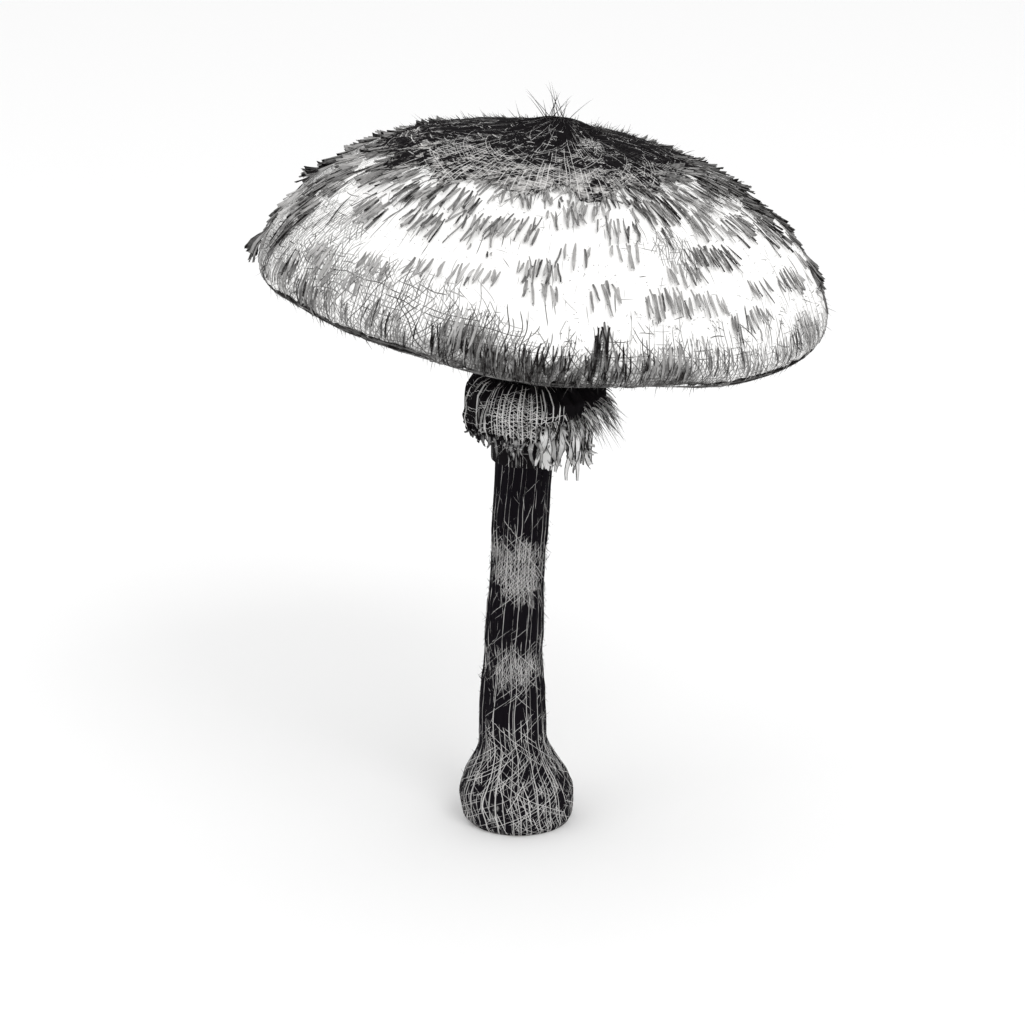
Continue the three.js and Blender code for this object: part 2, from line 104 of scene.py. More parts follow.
def soft_areas(angle: Array, far: Array, areas: Iterable[Area]) -> Array:
    """A sum of soft areas: each is its amount, times a bell round the axis, times a bell down the skin."""
    return sum(part * side(angle, at, wide) * hill(far, *down) for part, at, wide, *down in areas)


def unit(vectors: Array) -> Array:
    """The vectors at length 1, along the last axis."""
    return vectors / np.maximum(np.linalg.norm(vectors, axis=-1, keepdims=True), 1e-12)


def blend(start: Array, end: Array, share: Array) -> Array:
    """start where share is 0, end where it is 1, and straight between them."""
    return start + (end - start) * share


def turned(first: Array, second: Array, angle: float) -> Pair:
    """Two coordinates turned by an angle in their own plane, with its cosine and sine."""
    cosine, sine = math.cos(angle), math.sin(angle)
    return first * cosine - second * sine, first * sine + second * cosine


def stack(*axes: Array) -> Array:
    """Arrays made the same shape and joined on a new last axis."""
    return np.stack(np.broadcast_arrays(*axes), axis=-1)


def polar(radius: Array, angle: Array, height: Array | float = 0.0) -> Array:
    """Points from a radius, an angle from +X and a height: x and y are the radius times cosine and sine."""
    return stack(radius * np.cos(angle), radius * np.sin(angle), height)


def full_turn(columns: int) -> Array:
    """That many angles, evenly spaced in a full turn, as one row."""
    return TAU * np.arange(columns)[None] / columns


def slabs(values: Array) -> Array:
    """One value for each slab, with room for the axes down it and across it."""
    return np.asarray(values, float)[:, None, None]


def line_up(down: int, across: int) -> Pair:
    """The two parameters of a slab's grid: from 0 to 1 down it and from -1 to 1 across it."""
    return np.linspace(0, 1, down)[None, :, None], np.linspace(-1, 1, across)[None, None]


class ValueNoise:
    """Smooth random values from -1 to 1: seeded numbers on a cubic lattice, eased between its corners."""

    CELLS, OCTAVE_SHIFT = 32, 7.3

    def __init__(self, seed: int) -> None:
        """Fills the lattice."""
        self.table = np.random.default_rng(seed).uniform(-1, 1, (self.CELLS,) * 3)

    def at(self, x: Array, y: Array, z: Array | float = 0.0) -> Array:
        """The noise at points given in cells, weighted from the eight corners around each.

        Args:
            x: the first coordinate.
            y: the second.
            z: the third.

        Returns:
            One value for each point.
        """
        places = np.broadcast_arrays(x, y, z)
        whole = [np.floor(axis).astype(int) for axis in places]
        part = [ease(axis - corner, 0, 1) for axis, corner in zip(places, whole)]
        total = np.zeros(places[0].shape)
        for corner in np.ndindex(2, 2, 2):
            index = tuple((low + step) % self.CELLS for low, step in zip(whole, corner))
            weight = math.prod(share if step else 1 - share for share, step in zip(part, corner))
            total += weight * self.table[index]
        return total

    def folds(self, x: Array, y: Array, z: Array | float = 0.0, octaves: int = 3) -> Array:
        """Noise summed over octaves, each of twice the detail and half the height of the one before."""
        shift = self.OCTAVE_SHIFT
        return sum(self.at(x * 2**n, y * 2**n, z * 2**n + shift * n) / 2**n for n in range(octaves))

    def around(self, angle: Array, cells: float, along: Array | float = 0.0, octaves: int = 3) -> Array:
        """The same round an axis with no seam, on a circle with a radius of that many cells."""
        return self.folds(cells * np.cos(angle), cells * np.sin(angle), along, octaves)


class RepeatStream:
    """The same stream of numbers from 0 to 1 that the solid scales are drawn from."""

    FACTOR, STEP, WRAP = 1664525, 1013904223, 2**32

    def __init__(self, seed: int) -> None:
        """Starts the stream at a seed."""
        self.state = seed

    def draw(self) -> float:
        """The next number: the state times the factor, plus the step, wrapped."""
        self.state = (self.state * self.FACTOR + self.STEP) % self.WRAP
        return self.state / self.WRAP

    def skip(self, count: int) -> None:
        """Leaves out the next numbers, which shape the teeth of a solid scale."""
        for _ in range(count):
            self.draw()


def walls(upper: Array, lower: Array) -> Array:
    """Four-cornered faces between rings of points, given as indices, and the ring after each."""
    corners = [upper, lower, np.roll(lower, -1, axis=1), np.roll(upper, -1, axis=1)]
    return np.stack(corners, axis=-1).reshape(-1, 4)


def skin_faces(rows: int, columns: int) -> Faces:
    """Faces of a closed skin round an axis: a first pole, rings of points, and a last pole.

    Args:
        rows: how many rings there are.
        columns: how many points a ring has.

    Returns:
        The four-cornered faces between the rings, and the triangles round the poles.
    """
    ring = np.arange(rows * columns).reshape(rows, columns) + 1
    after = np.roll(ring, -1, axis=1)
    first = np.stack([np.zeros(columns, int), ring[0], after[0]], axis=-1)
    last = np.stack([np.full(columns, rows * columns + 1), after[-1], ring[-1]], axis=-1)
    return [walls(ring[:-1], ring[1:]), np.concatenate([first, last])]


def capped(first: Array | float, *rings: Array, last: Array | float) -> Array:
    """The values of a closed skin, in the order of its points: its first pole, its rings, its last pole."""
    size = np.shape(first)
    return np.concatenate([np.reshape(part, (-1, *size)) for part in (first, *rings, last)])


def band_faces(rows: int, columns: int) -> Faces:
    """Faces of a closed band round an axis, of rows rings with columns points. The last joins the first."""
    ring = np.arange(rows * columns).reshape(rows, columns)
    return [walls(ring, np.roll(ring, -1, axis=0))]


def slab_faces(copies: int, rows: int, columns: int) -> Faces:
    """Faces of thin slabs, each a grid of upper points, then the same grid of lower points.

    Args:
        copies: how many slabs follow each other.
        rows: points down a slab.
        columns: points across it.

    Returns:
        The four-cornered faces of the upper sides, the lower sides and the rims.
    """
    top = np.arange(rows * columns).reshape(rows, columns)
    upper = np.stack([top[:-1, :-1], top[:-1, 1:], top[1:, 1:], top[1:, :-1]], axis=-1).reshape(-1, 4)
    lower = upper[:, ::-1] + rows * columns
    rim = np.concatenate([top[0, :-1], top[:-1, -1], top[-1, :0:-1], top[:0:-1, 0]])
    after = np.roll(rim, -1)
    sides = np.stack([after, rim, rim + rows * columns, after + rows * columns], axis=-1)
    one = np.concatenate([upper, lower, sides])
    starts = np.arange(copies) * 2 * rows * columns
    return [(one[None] + starts[:, None, None]).reshape(-1, 4)]


def six_volumes(points: Array, triangles: Array) -> float:
    """Six times the volume inside triangles: their triple products, below 0 where they point inwards."""
    a, b, c = (points[corners] for corners in triangles.T)
    return float(np.einsum("ij,ij->", a, np.cross(b, c)))


@dataclass
class Surfaces:
    """Surfaces gathered into one mesh, with the values that its finish reads at each point.

    shade is how dark a point is, and scratch how much pale thread shows on it, both from 0 to 1. grain is
    a place on the skin: two numbers on a circle round it, or across a strip, and a third along its fibres.
    """

    faces: Faces = field(default_factory=list)
    rows: list[Array] = field(default_factory=list)  # for each point its place, grain, shade and scratch
    count: int = 0

    def add(self, points: Array, faces: Faces, grain: Array, shade: Array, scratch: Array = 0.0) -> None:
        """Adds closed surfaces, turned so that their faces point outwards.

        Args:
            points: places, with x, y and z on the last axis.
            faces: their faces, as indices into points.
            grain: three values for each point.
            shade: one value for each point, or one for all.
            scratch: the same.
        """
        points = np.reshape(points, (-1, 3))
        level = points - points.mean(axis=0)
        fans = (group[:, [0, n, n + 1]] for group in faces for n in range(1, group.shape[1] - 1))
        way = -1 if sum(six_volumes(level, fan) for fan in fans) < 0 else 1
        self.faces.extend(group[:, ::way] + self.count for group in faces)
        values = [np.broadcast_to(np.reshape(value, -1), len(points)) for value in (shade, scratch)]
        self.rows.append(np.column_stack([points, np.reshape(grain, (-1, 3)), *np.clip(values, 0, 1)]))
        self.count += len(points)

    def add_slabs(self, upper: Array, lower: Array, grain: Array, shade: Array) -> None:
        """Adds thin slabs, whose two sides have the same grain and shade.

        Args:
            upper: points of their upper sides, with axes slab, row, column and place.
            lower: the points below those.
            grain: three values for each pair of points.
            shade: one value for each pair.
        """
        size = upper.shape
        grain, shade = np.broadcast_to(grain, size), np.broadcast_to(shade, size[:3])
        pairs = (upper, lower), (grain, grain), (shade, shade)
        points, *values = (np.stack(pair, axis=1) for pair in pairs)
        self.add(points, slab_faces(*size[:3]), *values)

    def build(self, name: str) -> bpy.types.Object:
        """Makes the mesh, smooth-shaded, and its object, at the origin.

        Args:
            name: the name of both.

        Returns:
            The object, in the scene.
        """
        table = np.concatenate(self.rows).astype(np.float32)
        corners = np.concatenate([group.reshape(-1) for group in self.faces])
        sizes = np.concatenate([np.full(len(group), group.shape[1]) for group in self.faces])
        mesh = bpy.data.meshes.new(name)
        mesh.vertices.add(len(table))
        mesh.vertices.foreach_set("co", table[:, :3].reshape(-1))
        mesh.loops.add(len(corners))
        mesh.loops.foreach_set("vertex_index", corners.astype(np.int32))
        mesh.polygons.add(len(sizes))
        mesh.polygons.foreach_set("loop_start", (np.cumsum(sizes) - sizes).astype(np.int32))
        mesh.polygons.foreach_set("use_smooth", np.ones(len(sizes), bool))
        mesh.update(calc_edges=True)
        for label, columns in (("shade", [6]), ("scratch", [7]), ("grain", [3, 4, 5])):
            kind, entry = ("FLOAT", "value") if len(columns) == 1 else ("FLOAT_VECTOR", "vector")
            values = table[:, columns].reshape(-1)
            mesh.attributes.new(label, kind, "POINT").data.foreach_set(entry, values)
        made = bpy.data.objects.new(name, mesh)
        bpy.context.scene.collection.objects.link(made)
        return made


@dataclass(frozen=True)
class Hairs:
    """Fine tapered hairs, each a three-sided tube that bends from its root to its point.

    A hair's middle line is root + length * (direction * t + bend * t^2), for t from 0 to 1.
    """

    mesh: Surfaces
    roots: Array
    directions: Array
    bends: Array
    lengths: Array
    radii: Array
    shade: Array
    steps: int = 3

    SIDES, TAPER = 3, 0.7
    GRAIN_ACROSS, GRAIN_ALONG = 1.7, 1.1 * MM  # from hair to hair, and in a step along one

    def place(self) -> None:
        """Adds the hairs to the mesh. Each ring's radius is the root's times 1 - t to the power of TAPER."""
        count, sides = len(self.roots), self.SIDES
        share = np.arange(self.steps) / self.steps
        forward = unit(self.directions)
        curve = forward[:, None] * share[:, None] + self.bends[:, None] * share[:, None] ** 2
        middle = self.roots[:, None] + self.lengths[:, None, None] * curve
        tip = self.roots + self.lengths[:, None] * (forward + self.bends)
        helper = np.where(np.abs(forward[:, 2:]) < 0.9, [[0.0, 0.0, 1.0]], [[1.0, 0.0, 0.0]])
        right = unit(np.cross(forward, helper))
        ahead = np.cross(forward, right)
        turn = full_turn(sides)[0, :, None]
        around = right[:, None] * np.cos(turn) + ahead[:, None] * np.sin(turn)
        thick = self.radii[:, None, None, None] * (1 - share[None, :, None, None]) ** self.TAPER
        rings = middle[:, :, None] + around[:, None] * thick
        points = np.concatenate([rings.reshape(count, -1, 3), tip[:, None]], axis=1)
        stride = self.steps * sides + 1
        index = np.arange(self.steps * sides).reshape(self.steps, sides)
        after = np.roll(index, -1, axis=1)
        tube = np.stack([index[:-1], after[:-1], after[1:], index[1:]], axis=-1).reshape(-1, 4)
        ends = np.stack([index[-1], after[-1], np.full(sides, stride - 1)], axis=-1)
        ends = np.concatenate([ends, index[0][None, ::-1]])
        starts = (np.arange(count) * stride)[:, None, None]
        faces = [(tube[None] + starts).reshape(-1, 4), (ends[None] + starts).reshape(-1, 3)]
        along = np.append(np.repeat(share, sides), 1.0) * self.lengths[:, None] / self.GRAIN_ALONG
        grain = stack(np.arange(count)[:, None] * self.GRAIN_ACROSS, 0.0, along)
        self.mesh.add(points, faces, grain, np.repeat(self.shade, stride))


@dataclass(frozen=True)
class CapForm:
    """The cap's own form, about the middle of its widest circle.

    Its outline runs from the top, at share 0, to the margin, at share 1: a dome up to the share called
    widest, and then part of a quarter turn inwards. The whole is waved, then leans.
    """

    centre: Place = (6.7 * MM, 0.0, 181 * MM)
    lean: float = math.radians(7)  # towards +X
    nod: float = math.radians(0.8)  # towards -Y
    radius: float = 88 * MM
    dome_height: float = 45 * MM
    fullness: float = 2.6
    shoulder: float = 0.714
    umbo_height: float = 5 * MM
    umbo_spread: float = 13 * MM
    widest: float = 0.86
    curl_in: float = 7 * MM
    curl_down: float = 8 * MM
    curl_angle: float = math.radians(65)
    flesh_centre: float = 10 * MM
    flesh_edge: float = 1.6 * MM

    @cached_property
    def hollow(self) -> "CapForm":
        """The same form with no bell at the top, for what lies under the flesh."""
        return replace(self, umbo_height=0.0)

    def outline(self, share: Array) -> Pair:
        """Radius and height along the outline.

        The dome's height is dome_height * (1 - (r / radius)^fullness)^shoulder, with a bell for the umbo.

        Args:
            share: place along the outline, from 0 to 1.

        Returns:
            The radius and the height.
        """
        radius = self.radius * np.sin(np.minimum(share / self.widest, 1) * math.pi / 2)
        rise = np.clip(1 - (radius / self.radius) ** self.fullness, 0, 1) ** self.shoulder
        height = self.dome_height * rise + self.umbo_height * hill(radius, 0, self.umbo_spread)
        turn = np.clip((share - self.widest) / (1 - self.widest), 0, 1) * self.curl_angle
        curled = share > self.widest
        radius = np.where(curled, self.radius - self.curl_in * (1 - np.cos(turn)), radius)
        return radius, np.where(curled, -self.curl_down * np.sin(turn), height)

    def raised(self, share: Array, lift: Array) -> Pair:
        """The outline moved outwards, square to the line from just before each point to just after it.

        Args:
            share: place along the outline, from 0 to 1.
            lift: how far it is moved.

        Returns:
            The radius and the height.
        """
        step = 1e-3
        radius, height = self.outline(share)
        ahead, behind = self.outline(np.minimum(share + step, 1)), self.outline(np.maximum(share - step, 0))
        across, along = -(ahead[1] - behind[1]), ahead[0] - behind[0]
        length = np.hypot(across, along)
        return radius + lift * across / length, height + lift * along / length

    @cached_property
    def table(self) -> Pair:
        """Shares of the outline in short steps, and the distance along the skin from the top to each."""
        shares = np.linspace(0, 1, 2001)
        return shares, np.append(0.0, np.cumsum(np.hypot(*np.diff(self.outline(shares)))))

    def share_at(self, along: Array) -> Array:
        """The share of the outline at a distance along the skin from the top."""
        return np.interp(along, self.table[1], self.table[0])

    def along_at(self, share: Array) -> Array:
        """The distance along the skin from the top to a share of the outline."""
        return np.interp(share, *self.table)

    def flesh(self, share: Array) -> Array:
        """How thick the flesh is: thickest at the middle, thin from the widest circle on."""
        inner = 1 - np.minimum(share / self.widest, 1) ** 2
        return self.flesh_edge + (self.flesh_centre - self.flesh_edge) * inner**2

    def set_down(self, points: Array) -> Array:
        """Points of the level, round cap, waved, leaned and set in their place.

        The waves widen the cap by a sum of sines of its angle times the radius share squared, and lift it
        by another times that share to the power of 4.

        Args:
            points: x, y and z in the cap's own level frame, on the last axis.

        Returns:
            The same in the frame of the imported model.
        """
        x, y, z = np.moveaxis(points, -1, 0)
        angle = np.arctan2(y, x)
        share = np.minimum(np.hypot(x, y) / self.radius, 1)
        spread = 0.011 * np.sin(3 * angle + 0.6) + 0.008 * np.sin(5 * angle + 2.1)
        rise = 1.3 * np.sin(2 * angle + 0.4) + 0.9 * np.sin(5 * angle + 1.2) + 0.5 * np.sin(9 * angle)
        swell = 1 + spread * share**2
        z, x = turned(z + rise * MM * share**4, x * swell, self.lean)
        y, z = turned(y * swell, z, self.nod)
        return np.stack([x, y, z], axis=-1) + np.array(self.centre)

    def place(self, share: Array, angle: Array, lift: Array = 0.0) -> Array:
        """Points of the skin, raised by lift, at a share of the outline and an angle from +X."""
        radius, height = self.raised(share, lift)
        return self.set_down(polar(radius, angle, height))

    def outwards(self, share: Array, angle: Array, lift: Array = 0.0) -> Array:
        """The direction straight off the skin, from a millimetre's step."""
        return unit(self.place(share, angle, lift + 1 * MM) - self.place(share, angle, lift))

    def downwards(self, share: Array, angle: Array, step: float) -> Array:
        """The direction down the skin, from a step in share."""
        return unit(self.place(share + step, angle) - self.place(share, angle))

    def grain(self, share: Array, angle: Array, cells: float = 58.0) -> Array:
        """The fibres' place: a circle of that many cells' radius round the cap, and steps down the skin."""
        return polar(cells, angle, self.along_at(share) / GRAIN_STEP)


@dataclass(frozen=True)
class DiscForm:
    """Where the dark disc ends, along the skin from the top of the cap."""

    reach: float = 46 * MM
    shift: float = 7 * MM
    lobe: float = 9 * MM
    lobes: int = 14

    def edge(self, angle: Array) -> Array:
        """Its edge: a circle shifted towards -X, with rounded lobes that reach past it by uneven lengths.

        Args:
            angle: from +X.

        Returns:
            The distance along the skin: the shift goes with minus the cosine, and a lobe is half of 1 plus a
            cosine of lobes times the angle, times a length that two sines vary.
        """
        wobble = 0.5 * np.sin(3 * angle + 1) + 0.3 * np.sin(5 * angle)
        lobe = 0.5 + 0.5 * np.cos(self.lobes * angle + wobble)
        reach = 0.6 + 0.25 * np.sin(4 * angle + 0.7) + 0.15 * np.sin(7 * angle)
        return self.reach - self.shift * np.cos(angle) + self.lobe * lobe * reach


@dataclass(frozen=True)
class StemForm:
    """The stem's middle line and its width at each height."""

    cap: CapForm = CapForm()
    low: Rows = ((0, 0, 0), (-1.4, 0, 18), (-2, 0.6, 42), (-0.6, 1, 80), (1.6, 0.8, 120))  # on the line, mm
    cut: float = 16.8 * MM
    widths: Rows = (  # height and radius, mm: the cut, the bulb, its neck, the shaft and its flare
        (0, 16.8), (2.5, 18.2), (9, 18.6), (29, 10.8), (75, 9.3), (115, 8.8), (200, 8.5), (217, 9.5),
    )
    top: float = 41 * MM
    socket: float = -30 * MM
    tip_low: float = 10 * MM  # up to here a section is level
    tip_high: float = 50 * MM  # and from here it is square to the line
    samples: int = 200  # of the curve between two knots
    line_points: int = 1200

    @cached_property
    def line(self) -> Array:
        """The middle line, from the cut to the socket in the cap.

        A centripetal Catmull-Rom curve: each stretch is a Hermite curve whose tangents come from its four
        nearest points, spaced by the square root of their distances.

        Returns:
            Points evenly along it.
        """
        high = self.cap.set_down(np.array([[0, 0, height] for height in (self.socket, 0.0, self.top)]))
        knots = np.concatenate([np.array(self.low) * MM, high])
        knots = np.concatenate([[2 * knots[0] - knots[1]], knots, [2 * knots[-1] - knots[-2]]])
        share = np.linspace(0, 1, self.samples)[:-1, None]
        pieces = []
        for a, b, c, d in zip(knots[:-3], knots[1:-2], knots[2:-1], knots[3:]):
            before, here, after = (math.sqrt(np.linalg.norm(step)) for step in (b - a, c - b, d - c))
            leave = ((b - a) / before - (c - a) / (before + here) + (c - b) / here) * here
            reach = ((c - b) / here - (d - b) / (here + after) + (d - c) / after) * here
            bend = -3 * b + 3 * c - 2 * leave - reach
            pieces.append(b + leave * share + bend * share**2 + (2 * b - 2 * c + leave + reach) * share**3)
        dense = np.concatenate([*pieces, knots[-2:-1]])
        run = np.append(0.0, np.cumsum(np.linalg.norm(np.diff(dense, axis=0), axis=1)))
        even = np.linspace(0, run[-1], self.line_points)
        return np.stack([np.interp(even, run, dense[:, axis]) for axis in range(3)], axis=-1)

    def heights(self, count: int) -> Array:
        """The heights of that many stations, evenly along the middle line."""
        run = np.linspace(0, 1, count) * (self.line_points - 1)
        return np.interp(run, np.arange(self.line_points), self.line[:, 2])

    def centre(self, height: Array) -> Array:
        """The point of the middle line at a height."""
        line = self.line
        return np.stack([np.interp(height, line[:, 2], line[:, axis]) for axis in range(3)], axis=-1)

    def tangent(self, height: Array) -> Array:
        """The direction of the middle line at a height, from half a millimetre's step each way."""
        step = 0.5 * MM
        return unit(self.centre(height + step) - self.centre(height - step))

    def width(self, height: Array) -> Array:
        """The radius at a height, eased from each of the widths to the next."""
        rises = (
            ease(height, a * MM, b * MM) * (end - start) for (a, start), (b, end) in pairwise(self.widths)
        )
        return (self.widths[0][1] + sum(rises)) * MM

    def around(self, height: Array, offsets: Array) -> Array:
        """Offsets from the middle line turned square to it: level at the cut, and tipped with it above.

        The turn is Rodrigues' formula for the smallest turn that takes +Z to the line's direction.

        Args:
            height: height of the middle point, with the shape of offsets without its last axis.
            offsets: x, y and z in a level frame.

        Returns:
            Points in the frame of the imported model.
        """
        share = ease(height, self.tip_low, self.tip_high)[..., None]
        normal = unit(blend(UP, self.tangent(height), share))
        axis = np.cross(UP, normal)
        sine = np.linalg.norm(axis, axis=-1, keepdims=True)
        cosine = normal[..., 2:]
        axis = axis / np.maximum(sine, 1e-9)
        along = np.sum(axis * offsets, axis=-1, keepdims=True)
        tipped = offsets * cosine + np.cross(axis, offsets) * sine + axis * along * (1 - cosine)
        return self.centre(height) + tipped


@dataclass
class Weave:
    """Short ways to place shader nodes in one tree. Each takes sockets or numbers and gives a socket."""

    tree: Tree

    def join(self, sockets: Iterable[Socket], values: Iterable[Value]) -> None:
        """Links or sets sockets in their order.

        Args:
            sockets: the sockets of a node.
            values: for each a socket to link, a value to set, or None to leave it.
        """
        for socket, value in zip(sockets, values):
            if isinstance(value, bpy.types.NodeSocket):
                self.tree.links.new(value, socket)
            elif value is not None:
                socket.default_value = (*value, 1.0) if isinstance(value, tuple) else value

    def node(self, kind: str, *values: Value, **settings: str | Tree) -> bpy.types.Node:
        """A new node.

        Args:
            kind: its type, without the first words that all types share.
            values: what its first inputs get.
            settings: its other settings, by name.

        Returns:
            The node.
        """
        made = self.tree.nodes.new(f"ShaderNode{kind}")
        for name, value in settings.items():
            setattr(made, name, value)
        self.join(made.inputs, values)
        return made

    def math(self, operation: str, *values: Value) -> Socket:
        """A Math node."""
        return self.node("Math", *values, operation=operation).outputs[0]

    def times(self, *values: Value) -> Socket:
        """The first value times the second, plus the third if there is one."""
        return self.math("MULTIPLY_ADD" if len(values) > 2 else "MULTIPLY", *values)

    def noise(self, place: Socket, scale: Value, detail: float) -> Socket:
        """A Noise Texture's value, of a place in space."""
        return self.node("TexNoise", place, None, scale, detail).outputs["Fac"]

    def line_noise(self, along: Socket, scale: Value, detail: float) -> Socket:
        """A Noise Texture's value, of one number."""
        return self.node("TexNoise", None, along, scale, detail, noise_dimensions="1D").outputs["Fac"]

    def spread(self, value: Socket, low: Value, high: Value, start: float = 0.0, end: float = 1.0) -> Socket:
        """A Map Range node: low becomes start and high becomes end, held outside them."""
        return self.node("MapRange", value, low, high, start, end).outputs[0]

    def mix(self, share: Value, start: Value, end: Value) -> Socket:
        """A Mix node for colours, whose own are the seventh and eighth inputs."""
        return self.node("Mix", share, *[None] * 5, start, end, data_type="RGBA").outputs[2]

    def group(self, tree: Tree, *values: Value) -> Socket:
        """The output of a group, with the group's inputs in their order."""
        return self.node("Group", *values, node_tree=tree).outputs[0]

    def attribute(self, name: str, output: str = "Fac") -> Socket:
        """A value stored on the mesh."""
        return self.node("Attribute", attribute_name=name).outputs[output]

    @cached_property
    def grain(self) -> Socket:
        """The stored place on the skin."""
        return self.attribute("grain", "Vector")

    @cached_property
    def place(self) -> Socket:
        """The place on the object."""
        return self.node("TexCoord").outputs["Object"]


class NodeGroups:
    """The effects that several finishes share, each built once as a shader node group."""

    LINE_APART = 37.7  # how far apart two lines read the noise that draws them
    FINER = 3.1  # the mottle's second noise against its first

    def __init__(self) -> None:
        """Builds the groups."""
        self.strokes = self._strokes()
        self.mottle = self._mottle()

    @staticmethod
    def _new(name: str, output: str, **inputs: str) -> tuple[Weave, list[Socket], Socket]:
        """An empty group.

        Args:
            name: its name.
            output: the label of its one output.
            inputs: the kind of each input, by its label.

        Returns:
            Its tree, its inputs' sockets, and its output's socket.
        """
        tree = bpy.data.node_groups.new(name, "ShaderNodeTree")
        for label, kind in inputs.items():
            tree.interface.new_socket(label, in_out="INPUT", socket_type=f"NodeSocket{kind}")
        tree.interface.new_socket(output, in_out="OUTPUT", socket_type="NodeSocketFloat")
        source = tree.nodes.new("NodeGroupInput")
        target = tree.nodes.new("NodeGroupOutput")
        return Weave(tree), source.outputs[:-1], target.inputs[output]

    def _strokes(self) -> Tree:
        """Thread-like strokes: lines that stand 1 apart, drawn in stretches that taper at their ends.

        A line lies near the middle of its cell of Across, and has its own strength. It shows where a noise
        along it is above 0.72 - 0.44 * Amount, and there its half width grows from nothing to Half.

        Returns:
            The group, which puts out a mask.
        """
        labels = dict.fromkeys(("Across", "Along", "Count", "Amount", "Half"), "Float")
        weave, (across, along, count, amount, half), target = self._new("fibre strokes", "Mask", **labels)
        line = weave.math("FLOORED_MODULO", weave.math("FLOOR", across), count)
        chance = weave.node("TexWhiteNoise", None, line, noise_dimensions="1D").outputs["Value"]
        middle = weave.times(chance, 0.5, 0.25)
        other = weave.math("FRACT", weave.times(chance, 17.3))
        away = weave.math("ABSOLUTE", weave.math("SUBTRACT", weave.math("FRACT", across), middle))
        along = weave.times(line, self.LINE_APART, along)
        level = weave.times(amount, -0.44, 0.72)
        over = weave.math("SUBTRACT", weave.line_noise(along, 1.0, 1.0), level)
        drawn = weave.spread(over, 0.0, 0.1)
        reach = weave.times(drawn, half, 0.0005)
        mask = weave.spread(away, weave.times(reach, 0.5), reach, 1.0, 0.0)
        strength = weave.times(weave.spread(drawn, 0.0, 0.1), weave.spread(other, 0.0, 1.0, 0.5, 1.0))
        weave.join([target], [weave.times(mask, strength)])
        return weave.tree

    def _mottle(self) -> Tree:
        """Soft patches: 0.6 of one noise of the place on the object, and 0.4 of a finer one.

        Returns:
            The group, which puts out a value.
        """
        weave, (place, scale), target = self._new("mottle", "Value", Vector="Vector", Scale="Float")
        coarse = weave.noise(place, scale, 2.0)
        fine = weave.noise(place, weave.times(scale, self.FINER), 2.0)
        value = weave.times(fine, 0.4, weave.times(coarse, 0.6))
        weave.join([target], [weave.spread(value, 0.35, 0.65)])
        return weave.tree


class Ink(Enum):
    """What a set of strokes is drawn with, as the name of the stored value that says how many show."""

    DARK = "shade"
    PALE = "scratch"


@dataclass(frozen=True)
class Strokes:
    """One set of strokes on a skin that closes round an axis.

    count of them stand side by side in a full turn, and run is how many stretches of one fit in a step of
    the grain. Level strokes lie round the axis instead, with count in a step and run in a full turn.
    """

    count: int
    run: float
    start: float = 0.0  # the stored value that shows the first ones
    full: float = 1.0  # and the one where none is broken
    half: float = 0.13  # half their width, as a share of their spacing
    slant: float = 0.0  # spacings that they move sideways in a step of the grain
    level: bool = False


